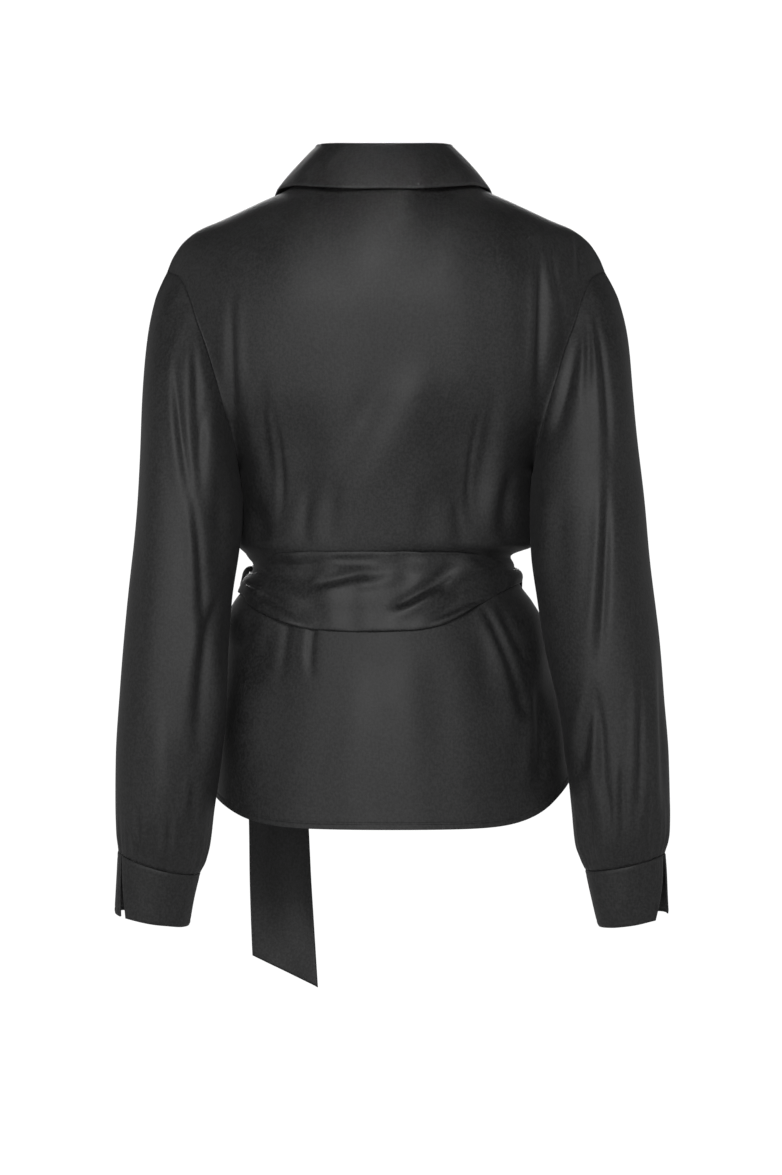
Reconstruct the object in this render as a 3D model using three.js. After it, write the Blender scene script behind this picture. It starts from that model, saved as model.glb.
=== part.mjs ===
// A satin wrap top with a turned-down collar, long full sleeves gathered into slit cuffs, and a wide
// sash that is wound round the waist and knotted at the wearer's left.
//
// It keeps the hollow form of a top that is being worn. Each piece that a maker would cut is a closed
// wall of cloth of its own, a small seam gap away from its neighbours.
//
// Millimetres, +Z up, +X towards the wearer's left, -Y towards the wearer's front. The origin lies
// midway between the two neck points, where the shoulders carry the top.

import * as THREE from "three";

// Driving sizes
const CLOTH = 1.6; // wall of a single layer of satin
const DOUBLE_CLOTH = 2.0; // wall of a collar, cuff or sash, which are two layers
const SEAM_GAP = 0.4; // space between two pieces that are sewn together
const SHOULDER_REACH = 212; // centre line to the dropped shoulder point
const SHOULDER_POINT = -75; // its height
const UNDERARM = -270; // height of the bottom of the armhole
const NECK_REACH = 68; // centre line to the neck point
const NECK_POINT = 16; // its height
const NECK_BACK = 8; // height of the neckline at the centre back
const NECK_DEPTH = 56; // how far back the neckline goes there
const SHOULDER_DEPTH = 4; // how far behind the origin the neck point lies
const HEM = -609; // hem at the centre back
const HEM_FRONT = -596; // hem at the centre front
const HEM_RISE_LEFT = 27; // how far the hem climbs to the left side seam
const HEM_RISE_RIGHT = 46; // and to the right one, where the sash pulls it up
const SKIRT_TOP = -430; // the hem's slant starts to show below here
const WRAP_INSET = 5.6; // the under front lies this far inside the over front
const SASH_CLEARANCE = 1.0; // air between the sash and what it is wound over

// A table has a name for each column and a row for each section.
function table(columns, ...rows) {
  return rows.map((row) => Object.fromEntries(columns.map((name, i) => [name, row[i]])));
}

// Shoulder seam from the centre line outwards.
const RIDGE = table(
  ["reach", "height"],
  [0, 24],
  [68, 16],
  [101, 0],
  [117, -7],
  [161, -27],
  [180, -35],
  [196, -47],
  [207, -63],
  [212, -75],
);

// Armhole from the shoulder point (0) to the underarm (1): its ring, and the fullness of the panels
// at the side and at the centre.
const ARMHOLE = table(
  ["share", "reach", "back", "front", "sideBack", "sideFront", "centreBack", "centreFront"],
  [0.0, 212, 0, 0, 60, -52, 104, -76],
  [0.04, 199, 24, -20, 60, -52, 104, -78],
  [0.15, 188, 40, -34, 60, -52, 105, -84],
  [0.26, 181, 50, -43, 60, -52, 106, -92],
  [0.4, 171, 58, -50, 60, -52, 107, -104],
  [0.57, 161, 62, -53, 58, -50, 106, -118],
  [0.7, 154, 59, -50, 48, -40, 104, -125],
  [0.85, 147, 44, -36, 27, -15, 101, -124],
  [0.95, 143, 26, -16, 11.5, 1.5, 99, -120],
  [1.0, 142, 6, 6, 6, 6, 98, -117],
);

// Body below the underarm, on a general figure: blouses a little over the sash, then flares.
const TORSO = table(
  ["height", "halfWidth", "centre", "back", "front", "side"],
  [-270, 142, 0, 98, -117, 6],
  [-283, 140.4, 0, 97, -116, 1],
  [-300, 141.2, 0, 95, -114, -5],
  [-325, 143, 0, 91, -108, -9],
  [-341, 144, 0, 88, -102, -12],
  [-351, 128, 7, 85, -96, -9],
  [-360, 126.5, 2, 83, -92, -6],
  [-369, 128.5, 2, 82, -90, -5],
  [-381, 134, 3, 84, -91, -6],
  [-396, 145, 3, 89, -94, -9],
  [-412, 153, 2, 95, -98, -12],
  [-443, 157, -1, 104, -104, -15],
  [-480, 160, -2, 112, -110, -16],
  [-530, 165, -4, 119, -115, -16],
  [-609, 173, -7, 124, -119, -14],
);

// Free edge of a front, as an angle across the figure: 0 at the centre, 90 at the far side seam.
const WRAP_EDGE = table(
  ["height", "angle"],
  [16, -18.7],
  [-20, -16.5],
  [-60, -14],
  [-110, -8.5],
  [-170, 0],
  [-230, 14],
  [-290, 33],
  [-345, 56],
  [-370, 64],
  [-430, 62],
  [-520, 58],
  [-609, 54],
);

// Soft folds of the body, seen square on: troughs have a depth above 0 and ridges one below 0.
const BODY_FOLDS = table(
  ["face", "fromX", "fromZ", "toX", "toZ", "width", "depth"],
  [1, 148, -95, 142, -255, 12, 5], // beside the left armhole
  [1, -150, -50, -149, -250, 12, 5], // beside the right armhole
  [1, 108, -190, 84, -345, 22, 5], // left back dart
  [1, -94, -200, -70, -345, 22, 5], // right back dart
  [1, 20, -210, 78, -340, 26, -3], // drape across the back
  [1, -30, -160, 40, -330, 28, 3],
  [1, 64, -424, 70, -500, 13, 6], // pleats below the sash
  [1, -96, -405, -138, -520, 13, 8],
  [1, 118, -405, 146, -470, 15, 5],
  [1, -80, -424, -104, -560, 22, -3],
  [-1, 80, -250, 112, -345, 20, 5], // drape of the crossed fronts
  [-1, -84, -235, -30, -345, 18, 5],
  [-1, -40, -190, 60, -345, 20, -5],
  [-1, 6, -190, 96, -345, 16, 5],
  [-1, 74, -425, 60, -560, 16, 6],
  [-1, -70, -425, -84, -560, 16, 6],
  [-1, 8, -425, -4, -590, 18, 5],
);

// Flutes that stand round the skirt, by angle from the centre: more of them towards the right.
const FLUTES = table(
  ["face", "angle", "spread", "height"],
  [1, -63, 5, 6],
  [1, -74, 4, 6],
  [1, 70, 7, 4],
  [-1, -66, 7, 6],
  [-1, -34, 8, 5],
  [-1, 34, 8, 5],
  [-1, 66, 7, 6],
);

// Sleeves by section. The outer and inner edge are the ones that show from behind.
const SLEEVE_COLUMNS = ["outerZ", "outerX", "innerX", "innerZ", "middle", "halfDepth"];
const SLEEVE_LEFT = table(
  SLEEVE_COLUMNS,
  [-75, 212, 142, -270, 6, 56],
  [-104, 223.5, 142, -282, 13, 60],
  [-145, 230.5, 141.4, -299, 20, 62],
  [-195, 234.5, 141.2, -320, 27, 62],
  [-255, 237.5, 143.5, -349, 34, 60],
  [-330, 242, 147.5, -393, 42, 58],
  [-405, 248, 150.5, -440, 50, 54],
  [-480, 253.5, 152.5, -495, 54, 51],
  [-545, 257.5, 157.5, -552, 55, 48],
  [-590, 258, 164, -596, 52, 46],
  [-612, 257.5, 168, -628, 47, 44],
  [-624, 257, 172, -643, 45, 38],
  [-632, 256.5, 177, -653, 43, 34],
);
const SLEEVE_RIGHT = table(
  SLEEVE_COLUMNS,
  [-75, 212, 142, -270, 6, 56],
  [-104, 225.5, 142, -282, 13, 60],
  [-145, 233.5, 141.4, -299, 20, 62],
  [-195, 238, 141.2, -320, 27, 62],
  [-255, 242.5, 141.5, -349, 34, 60],
  [-330, 250, 145.5, -393, 42, 58],
  [-405, 258.5, 152, -440, 48, 56],
  [-480, 266.5, 164, -495, 51, 54],
  [-545, 271.5, 172.5, -552, 51, 52],
  [-590, 272, 178, -596, 49, 49],
  [-612, 271, 181.5, -628, 47, 44],
  [-624, 269.5, 186, -641, 45, 38],
  [-634, 267.5, 190.5, -651, 43, 34],
);

// Long folds of a sleeve: where it lies round the arm (0 outer, 90 back, 180 inner, 270 front).
const FOLD_COLUMNS = ["fromShare", "toShare", "fromAngle", "toAngle", "spread", "depth"];
const FOLDS_LEFT = table(
  FOLD_COLUMNS,
  [0.04, 0.62, 62, 74, 9, 5],
  [0.06, 0.5, 92, 100, 10, 5],
  [0.3, 0.55, 128, 112, 11, 4],
  [0.5, 0.9, 150, 112, 10, 7],
  [0.55, 0.94, 64, 60, 9, 4],
  [0.1, 0.7, 245, 262, 12, 5],
  [0.3, 0.92, 300, 292, 11, 5],
  [0.5, 0.94, 220, 226, 11, 5],
);
const FOLDS_RIGHT = table(
  FOLD_COLUMNS,
  [0.03, 0.86, 56, 126, 8, 6],
  [0.05, 0.3, 96, 112, 8, 5],
  [0.52, 0.93, 118, 100, 8, 5],
  [0.6, 0.94, 68, 66, 8, 4],
  [0.5, 0.9, 34, 30, 9, 4],
  [0.1, 0.7, 245, 262, 12, 5],
  [0.3, 0.92, 300, 292, 11, 5],
  [0.5, 0.94, 220, 226, 11, 5],
);
const CUFF_GATHERS = 16; // gathers where a sleeve meets its cuff
const GATHER_DEPTH = 2.6;
const GATHER_START = 0.8; // share of the sleeve's length where they begin
const GATHER_FULL = 0.97; // and where they have their full depth
const CAP_END = 0.3; // share of the sleeve's length over which its cap turns into an oval

// Cuffs: the seam with the sleeve, then the edge. The slit's two sides are angles round the cuff.
const CUFF_COLUMNS = [
  "outerX", "outerZ", "innerX", "innerZ", "middle", "halfDepth", "dip", "slitFrom", "slitTo",
];
const CUFF_LEFT = table(
  CUFF_COLUMNS,
  [256.5, -632.7, 177, -653.7, 43, 34, 7, 24, 27],
  [259, -665, 183.5, -680, 38, 32, 4, 29, 36],
  [261, -694, 188, -706, 33, 31, 3, 34, 47],
);
const CUFF_RIGHT = table(
  CUFF_COLUMNS,
  [267.5, -634.7, 190.5, -651.7, 43, 34, 4, 12, 18],
  [270, -668, 197, -680, 38, 32, 4, 6, 34],
  [272, -695, 203.5, -707, 33, 31, 3, 2, 54],
);

// Collar from the centre back to the front end, the same on both sides: where it is sewn on (an
// angle along the back neckline, then a share down the free edge of a front), its roll and its edge.
const COLLAR = table(
  ["neck", "share", "foldX", "foldY", "foldZ", "edgeX", "edgeY", "edgeZ"],
  [0, 0, 0, 54, 42.5, 0, 82.5, -3.8],
  [6.5, 0, 24, 50, 43, 34, 80, -3],
  [12.5, 0, 45, 39, 44.5, 67, 61, 0.5],
  [16.8, 0, 59, 22, 46, 89, 37, 4],
  [18.7, 0, 64, 1, 47, 101, 8, 4.5],
  [18.7, 0.03, 62, -32, 39, 108, -24, -6],
  [18.7, 0.1, 57, -60, 16, 109, -52, -32],
  [18.7, 0.19, 52, -84, -18, 108, -70, -60],
  [18.7, 0.29, 46, -101, -53, 104, -88, -92],
);

// Sash by angle round the waist: 0 at the centre back, 90 at the wearer's left, 180 at the front.
const SASH = table(
  ["angle", "top", "bottom"],
  [-90, -364, -377],
  [-76, -365, -379],
  [-63, -357.5, -383],
  [-47, -350, -392],
  [-37, -348, -400],
  [-28, -347.5, -410],
  [-19, -347, -419],
  [-9, -347, -423],
  [8, -347, -424],
  [25, -347, -422],
  [38, -347.5, -416],
  [47, -349, -409],
  [55, -354, -403],
  [62, -361.5, -397],
  [68, -367, -392],
  [75, -369, -389],
  [88, -368, -388],
  [104, -367, -390],
  [132, -363, -398],
  [150, -353, -412],
  [180, -349, -418],
  [220, -352, -416],
  [246, -359, -402],
  [258, -362, -386],
  [270, -364, -377],
);
const KNOT = { x: 129.5, y: -66.1, z: -377, halfWidth: 18, halfDepth: 12, halfHeight: 19, turn: 45 };

// Tails of the sash: middle of the strip, its width and how far it turns to face sideways.
const TAIL_COLUMNS = ["z", "x", "y", "width", "turn", "slant"];
const TAIL_LONG = table(
  TAIL_COLUMNS,
  [-396.35, 133, -62.9, 14, 45, 0],
  [-430, 135, -78, 34, 46, 0],
  [-470, 131, -92, 50, 40, 0],
  [-530, 120, -104, 60, 33, 0],
  [-600, 110.5, -111, 66, 29, 0],
  [-680, 106.3, -112, 64.5, 18, 6],
  [-766, 101, -110, 66, 8, 33],
);
const TAIL_SHORT = table(
  TAIL_COLUMNS,
  [-395.55, 122.9, -72.7, 10, 45, 0],
  [-430, 104, -99, 30, 34, 0],
  [-470, 86, -113, 44, 24, 0],
  [-520, 62, -126, 52, 18, -4],
  [-572, 48, -133, 58, 12, -26],
);

const radians = THREE.MathUtils.degToRad;
const lerp = THREE.MathUtils.lerp;
const point = (x, y, z) => new THREE.Vector3(x, y, z);
const bump = (distance, width) => Math.exp(-((distance / width) ** 2));

// Reads a column of a table at any place between its rows, on a smooth curve that never overshoots.
function read(rows, key, at, column) {
  const turn = Math.sign(rows[rows.length - 1][key] - rows[0][key]);
  let i = rows.findIndex((row) => (row[key] - at) * turn >= 0) - 1;
  if (i < -1) i = rows.length - 2;
  i = Math.min(Math.max(i, 0), rows.length - 2);
  const slope = (k) => (rows[k + 1][column] - rows[k][column]) / (rows[k + 1][key] - rows[k][key]);
  const tangent = (k) => {
    if (k === 0) return slope(0);
    if (k === rows.length - 1) return slope(k - 1);
    const [before, after] = [slope(k - 1), slope(k)];
    return before * after <= 0 ? 0 : (2 * before * after) / (before + after);
  };
  const span = rows[i + 1][key] - rows[i][key];
  const t = THREE.MathUtils.clamp((at - rows[i][key]) / span, 0, 1);
  const [from, to] = [rows[i][column], rows[i + 1][column]];
  return (
    from * (1 + 2 * t) * (1 - t) ** 2 +
    tangent(i) * span * t * (1 - t) ** 2 +
    to * t * t * (3 - 2 * t) +
    tangent(i + 1) * span * t * t * (t - 1)
  );
}

// The body's surface. Above the underarm, share runs from the shoulder seam (0) to the underarm (1).
function yokePoint(face, angle, share) {
  const across = Math.sin(radians(angle));
  const reach = SHOULDER_REACH * Math.abs(across);
  const neck = Math.min(1, reach / NECK_REACH);
  const overNeck = face > 0 && neck < 1;
  const ridgeZ = overNeck ? lerp(NECK_BACK, NECK_POINT, neck ** 2) : read(RIDGE, "reach", reach, "height");
  const roundNeck = lerp(0.5, 1.6, Math.min(1, share / 0.08));
  const ridgeY = overNeck
    ? lerp(SHOULDER_DEPTH, NECK_DEPTH, (1 - neck ** 2) ** roundNeck)
    : lerp(0, SHOULDER_DEPTH, Math.max(0, 1 - reach / SHOULDER_REACH));
  const edge = read(ARMHOLE, "share", share, face > 0 ? "back" : "front");
  const full = read(ARMHOLE, "share", share, face > 0 ? "sideBack" : "sideFront");
  const middle = read(ARMHOLE, "share", share, face > 0 ? "centreBack" : "centreFront");
  const roll = Math.sin(radians(90) * Math.min(1, Math.sqrt(share / 0.5)));
  const roundness = Math.cos(radians(angle)) ** 0.95;
  const inner = ridgeY + (full + (middle - full) * roundness - ridgeY) * roll;
  const atEdge = Math.abs(across) ** lerp(6, 24, THREE.MathUtils.smoothstep(share, 0.3, 0.9));
  return point(
    read(ARMHOLE, "share", share, "reach") * across,
    lerp(inner, edge, atEdge),
    lerp(ridgeZ, UNDERARM, share),
  );
}

// Below the underarm, height is the level at the centre, and the hem climbs towards the sides.
function skirtPoint(face, angle, height) {
  const across = Math.sin(radians(angle));
  const halfWidth = read(TORSO, "height", height, "halfWidth");
  const centre = read(TORSO, "height", height, "centre");
  const side = read(TORSO, "height", height, "side");
  const depth = read(TORSO, "height", height, face > 0 ? "back" : "front");
  const rise = across > 0 ? HEM_RISE_LEFT : HEM_RISE_RIGHT;
  const lift = face > 0 ? 0 : HEM_FRONT - HEM;
  const fall = THREE.MathUtils.smoothstep(SKIRT_TOP - height, 0, SKIRT_TOP - HEM);
  return point(
    centre + halfWidth * across,
    side + (depth - side) * Math.cos(radians(angle)) ** 0.95,
    height + fall * lerp(lift, rise, Math.abs(across) ** 6),
  );
}

// How far the folds move a point of the body outwards.
function bodyFold(face, angle, place) {
  let out = 0;
  for (const fold of BODY_FOLDS) {
    if (fold.face !== face) continue;
    const run = new THREE.Vector2(fold.toX - fold.fromX, fold.toZ - fold.fromZ);
    const from = new THREE.Vector2(place.x - fold.fromX, place.z - fold.fromZ);
    const t = THREE.MathUtils.clamp(from.dot(run) / run.lengthSq(), 0, 1);
    const away = from.addScaledVector(run, -t).length();
    const fade = Math.sin(Math.PI * THREE.MathUtils.clamp(t, 0.08, 0.92)) ** 0.5;
    out -= fold.depth * bump(away, fold.width) * fade;
  }
  if (place.z < SKIRT_TOP) {
    const grown = THREE.MathUtils.smoothstep(SKIRT_TOP - place.z, 0, SKIRT_TOP - HEM);
    for (const flute of FLUTES) {
      if (flute.face === face) out -= flute.height * grown * bump(angle - flute.angle, flute.spread);
    }
  }
  return out;
}

const YOKE_ROWS = 12;
const SKIRT_HEIGHTS = [
  -283, -297, -312, -327, -341, -350, -360, -371, -383, -397, -412, -430, -456, -488, -524, -566, -609,
];

// One row of a body panel at each level, from the shoulder seam to the hem.
function bodyLevels() {
  const levels = [];
  for (let j = 0; j <= YOKE_ROWS; j++) levels.push({ share: (1 - Math.cos((Math.PI * j) / YOKE_ROWS)) / 2 });
  for (const height of SKIRT_HEIGHTS) levels.push({ height });
  return levels;
}

function bodyPoint(face, angle, level) {
  return level.height === undefined
    ? yokePoint(face, angle, level.share)
    : skirtPoint(face, angle, level.height);
}

// Outward normal of the body at a point, from its neighbours on the surface.
function bodyNormal(face, angle, level) {
  const step = 2;
  const low = Math.max(-90, angle - step);
  const high = Math.min(90, angle + step);
  const across = bodyPoint(face, high, level).sub(bodyPoint(face, low, level));
  const shift = (sign) =>
    level.height === undefined
      ? { share: THREE.MathUtils.clamp(level.share + 0.02 * sign, 0, 1) }
      : { height: level.height - step * sign };
  const down = bodyPoint(face, angle, shift(1)).sub(bodyPoint(face, angle, shift(-1)));
  const normal = across.cross(down).normalize().multiplyScalar(face);
  if (Math.abs(angle) > 89.9) normal.y = 0;
  return normal.normalize();
}

// Ring of the armhole: 0 at the shoulder point, through the back at 90 to the underarm at 180.
function armholePoint(around) {
  const share = (1 - Math.cos(radians(around))) / 2;
  return point(
    read(ARMHOLE, "share", share, "reach"),
    read(ARMHOLE, "share", share, around <= 180 ? "back" : "front"),
    lerp(SHOULDER_POINT, UNDERARM, share),
  );
}

// Outward normal of the cloth where a sleeve and the body meet, the same for both.
const ARMHOLE_PLANE = point(0.94, 0, -0.34).normalize();
function armholeNormal(around) {
  const [next, last] = [armholePoint((around + 1) % 360), armholePoint((around + 359) % 360)];
  return ARMHOLE_PLANE.clone().cross(next.sub(last)).normalize();
}

// Outward normal along the shoulder seam, the same for the back and the fronts.
function ridgeNormal(angle) {
  if (Math.abs(angle) > 89.9) return armholeNormal(0).multiply(point(Math.sign(angle), 1, 1));
  const along = yokePoint(-1, angle + 0.5, 0).sub(yokePoint(-1, angle - 0.5, 0));
  return point(-along.z, 0, along.x).normalize();
}

// Grid of surface points and outward normals for a panel, one row for each level.
function panel(face, angleAt, columns, insetAt) {
  return bodyLevels().map((level, j) =>
    Array.from({ length: columns + 1 }, (_, i) => {
      const angle = angleAt(i / columns, level);
      const place = bodyPoint(face, angle, level);
      const normal = bodyNormal(face, angle, level);
      const onRidge = j === 0 && Math.abs(place.x) > NECK_REACH - 1;
      const edge = Math.abs(angle) > 89.9;
      if (onRidge) normal.copy(ridgeNormal(angle));
      if (edge && j < YOKE_ROWS) {
        const around = (180 * j) / YOKE_ROWS;
        normal.copy(armholeNormal(face > 0 ? around : 360 - around));
        normal.x *= Math.sign(angle);
      }
      const settle = Math.min(1, (j / 4) ** 2) * Math.cos(radians(angle)) ** 0.3;
      if (!edge) place.addScaledVector(normal, bodyFold(face, angle, place) * settle);
      place.addScaledVector(normal, -insetAt(angle, j));
      if (onRidge || (edge && j >= YOKE_ROWS)) place.y += (face * SEAM_GAP) / 2;
      if (edge && j <= YOKE_ROWS) {
        const apart = ARMHOLE_PLANE.clone().multiplyScalar(-SEAM_GAP / 2);
        place.add(point(apart.x * Math.sign(angle), 0, apart.z));
      }
      return { place, normal };
    }),
  );
}

// A closed wall from a grid of points and normals. A ring joins its last column to its first.
function wall(grid, thickness, ring = false) {
  const outer = grid.map((row) => row.map(({ place }) => place.clone()));
  const inner = grid.map((row) =>
    row.map(({ place, normal }) => place.clone().addScaledVector(normal, -thickness)),
  );
  const triangles = [];
  const quad = (a, b, c, d) => triangles.push(a, b, c, a, c, d);
  const band = (upper, lower, turned) => {
    const wide = lower.length / upper.length;
    const n = ring ? upper.length : upper.length - 1;
    for (let i = 0; i < n; i++) {
      const a = upper[i];
      const b = upper[(i + 1) % upper.length];
      if (wide === 2) {
        const [c, d, e] = [lower[2 * i], lower[2 * i + 1], lower[(2 * i + 2) % lower.length]];
        const fan = [a, c, d, a, d, b, b, d, e];
        for (let k = 0; k < 9; k += 3) {
          triangles.push(fan[k], ...(turned ? [fan[k + 2], fan[k + 1]] : [fan[k + 1], fan[k + 2]]));
        }
      } else {
        const [c, d] = [lower[i], lower[(i + 1) % lower.length]];
        if (turned) quad(a, b, d, c);
        else quad(a, c, d, b);
      }
    }
  };
  for (let j = 0; j + 1 < outer.length; j++) {
    band(outer[j], outer[j + 1], false);
    band(inner[j], inner[j + 1], true);
    if (!ring) {
      const last = outer[j].length - 1;
      quad(outer[j][0], inner[j][0], inner[j + 1][0], outer[j + 1][0]);
      quad(outer[j][last], outer[j + 1][last], inner[j + 1][last], inner[j][last]);
    }
  }
  band(inner[0], outer[0], false);
  band(outer[outer.length - 1], inner[inner.length - 1], false);
  return closed(triangles);
}

// Geometry of a closed body from its triangles, turned so that the faces point outwards.
function closed(triangles) {
  let volume = 0;
  for (let i = 0; i < triangles.length; i += 3) {
    volume += triangles[i].dot(triangles[i + 1].clone().cross(triangles[i + 2]));
  }
  const corners = volume > 0 ? triangles : triangles.slice().reverse();
  const geometry = new THREE.BufferGeometry();
  const numbers = corners.flatMap((corner) => corner.toArray());
  geometry.setAttribute("position", new THREE.Float32BufferAttribute(numbers, 3));
  geometry.computeVertexNormals();
  return geometry;
}

const BODY_TONE = 0x2b2b2c;
const SASH_TONE = 0x2e2e2f;
const group = new THREE.Group();
function add(name, geometry, tone = BODY_TONE) {
  const satin = new THREE.MeshStandardMaterial({ color: tone, roughness: 0.45, metalness: 0 });
  const mesh = new THREE.Mesh(geometry, satin);
  mesh.name = name;
  group.add(mesh);
}

// Back: one panel from armhole to armhole, shaped by two long darts and held in by the sash.
const NECK_ANGLE = THREE.MathUtils.radToDeg(Math.asin(NECK_REACH / SHOULDER_REACH));
const BACK_ANGLES = [0, 5.5, 10.5, 14.5, 17.2, NECK_ANGLE, 28, 37, 46, 55, 64, 73, 81.5, 90];
const backAngles = [...BACK_ANGLES.slice(1).reverse().map((a) => -a), ...BACK_ANGLES];
const BACK_COLUMNS = backAngles.length - 1;
const backAngle = (share) => backAngles[Math.round(share * BACK_COLUMNS)];
const noInset = () => 0;
add("back", wall(panel(1, backAngle, BACK_COLUMNS, noInset), CLOTH));

// Fronts: each runs from its own side seam across the figure, the right one over the left one.
function wrapAngle(level) {
  const height = level.height ?? lerp(NECK_POINT, UNDERARM, level.share);
  return read(WRAP_EDGE, "height", height, "angle");
}
const FRONT_COLUMNS = 14;
const CROWDING = 0.35; // how far the columns crowd towards the side seam, where the body turns fastest
const INSET_TURN = 20; // degrees from the left side seam over which the under front moves inwards
const crowded = (share) => lerp(share, Math.sin(radians(90) * share), CROWDING);
const INSET_ROWS = 6; // rows from the left shoulder seam over which it does so
const underInset = (angle, row) =>
  WRAP_INSET *
  THREE.MathUtils.smoothstep(90 - angle, 0, INSET_TURN) *
  THREE.MathUtils.smoothstep(row, 0, INSET_ROWS);
const overAngle = (share, level) => lerp(-90, wrapAngle(level), 1 - crowded(1 - share));
const underAngle = (share, level) => -overAngle(share, level);
add("front_right", wall(panel(-1, overAngle, FRONT_COLUMNS, noInset), CLOTH));
add("front_left", wall(panel(-1, underAngle, FRONT_COLUMNS, underInset), CLOTH));

// An oval between an outer and an inner edge.
function ovalPoint({ outerX, innerX, outerZ, innerZ, middle, halfDepth, dip = 0 }, around) {
  const [cosine, sine] = [Math.cos(radians(around)), Math.sin(radians(around))];
  return point(
    (outerX + innerX) / 2 + ((outerX - innerX) / 2) * cosine,
    middle + halfDepth * sine,
    (outerZ + innerZ) / 2 + ((outerZ - innerZ) / 2) * cosine - dip * sine,
  );
}

// A point of a left sleeve. The cap is drawn to the armhole's own ring, and dip is how much lower
// than its sides the back of the lower end lies.
function sleevePoint({ rows, folds, dip }, share, around) {
  const outerZ = lerp(rows[0].outerZ, rows[rows.length - 1].outerZ, share);
  const section = { outerZ };
  for (const column of SLEEVE_COLUMNS.slice(1)) section[column] = read(rows, "outerZ", outerZ, column);
  section.dip = dip * THREE.MathUtils.smoothstep(share, GATHER_START, 1);
  const place = ovalPoint(section, around);
  const first = ovalPoint(rows[0], around);
  place.addScaledVector(armholePoint(around).sub(first), Math.max(0, 1 - share / CAP_END) ** 2);
  const away = point(Math.cos(radians(around)), Math.sin(radians(around)), 0);
  let out = 0;
  for (const fold of folds) {
    const t = (share - fold.fromShare) / (fold.toShare - fold.fromShare);
    if (t <= 0 || t >= 1) continue;
    const turn = Math.abs(around - lerp(fold.fromAngle, fold.toAngle, t));
    out -= fold.depth * Math.sin(Math.PI * t) ** 0.6 * bump(Math.min(turn, 360 - turn), fold.spread);
  }
  const gathered = THREE.MathUtils.smoothstep(share, GATHER_START, GATHER_FULL);
  out += GATHER_DEPTH * gathered * (Math.cos(radians(around * CUFF_GATHERS)) - 0.4);
  return place.addScaledVector(away, out);
}

// Sleeves: cut full, a little gathered at the shoulder and drawn into the cuff.
const SLEEVE_SHARES = [
  0, 0.03, 0.065, 0.11, 0.17, 0.24, 0.31, 0.38, 0.45, 0.52, 0.59, 0.66, 0.73, 0.79, 0.84, 0.885, 0.92, 0.95,
  0.975, 1,
];
const SLEEVE_STEPS = 24; // round the upper sleeve, and twice as many where it is gathered
function sleeve(shape, side) {
  const normalAt = (share, around) => {
    const step = 0.004;
    const [up, down] = [Math.max(0, share - step), Math.min(1, share + step)];
    const along = sleevePoint(shape, down, around).sub(sleevePoint(shape, up, around));
    const turn = sleevePoint(shape, share, around + 1).sub(sleevePoint(shape, share, around - 1));
    return turn.cross(along).negate().normalize();
  };
  const grid = SLEEVE_SHARES.map((share, j) => {
    const count = share > GATHER_START ? SLEEVE_STEPS * 2 : SLEEVE_STEPS;
    return Array.from({ length: count }, (_, i) => {
      const around = (360 * i) / count;
      const place = sleevePoint(shape, share, around);
      if (j === 0) place.addScaledVector(ARMHOLE_PLANE, SEAM_GAP / 2);
      return { place, normal: j === 0 ? armholeNormal(around) : normalAt(share, around) };
    });
  });
  return mirrored(grid, side);
}

function mirrored(grid, side) {
  if (side > 0) return grid;
  const flip = (v) => point(-v.x, v.y, v.z);
  return grid.map((row) => row.map(({ place, normal }) => ({ place: flip(place), normal: flip(normal) })));
}
const leftSleeve = { rows: SLEEVE_LEFT, folds: FOLDS_LEFT, dip: CUFF_LEFT[0].dip };
const rightSleeve = { rows: SLEEVE_RIGHT, folds: FOLDS_RIGHT, dip: CUFF_RIGHT[0].dip };
add("sleeve_left", wall(sleeve(leftSleeve, 1), CLOTH, true));
add("sleeve_right", wall(sleeve(rightSleeve, -1), CLOTH, true));

// Cuffs: a straight double band, open in a slit on the outer side.
const CUFF_ROWS = 4;
const CUFF_STEPS = 26;
function cuff(rows, side) {
  const keyed = rows.map((row, i) => ({ ...row, at: i / (rows.length - 1) }));
  const sectionAt = (at) => Object.fromEntries(CUFF_COLUMNS.map((c) => [c, read(keyed, "at", at, c)]));
  const grid = Array.from({ length: CUFF_ROWS + 1 }, (_, j) => {
    const section = sectionAt(j / CUFF_ROWS);
    return Array.from({ length: CUFF_STEPS + 1 }, (_, i) => {
      const around = lerp(section.slitTo, section.slitFrom + 360, i / CUFF_STEPS);
      const place = ovalPoint(section, around);
      const turn = ovalPoint(section, around + 1).sub(ovalPoint(section, around - 1));
      const next = sectionAt(Math.min(1, j / CUFF_ROWS + 0.02));
      const last = sectionAt(Math.max(0, j / CUFF_ROWS - 0.02));
      const normal = turn.cross(ovalPoint(next, around).sub(ovalPoint(last, around))).negate().normalize();
      return { place, normal };
    });
  });
  return mirrored(grid, side);
}
add("cuff_left", wall(cuff(CUFF_LEFT, 1), DOUBLE_CLOTH));
add("cuff_right", wall(cuff(CUFF_RIGHT, -1), DOUBLE_CLOTH));

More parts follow.
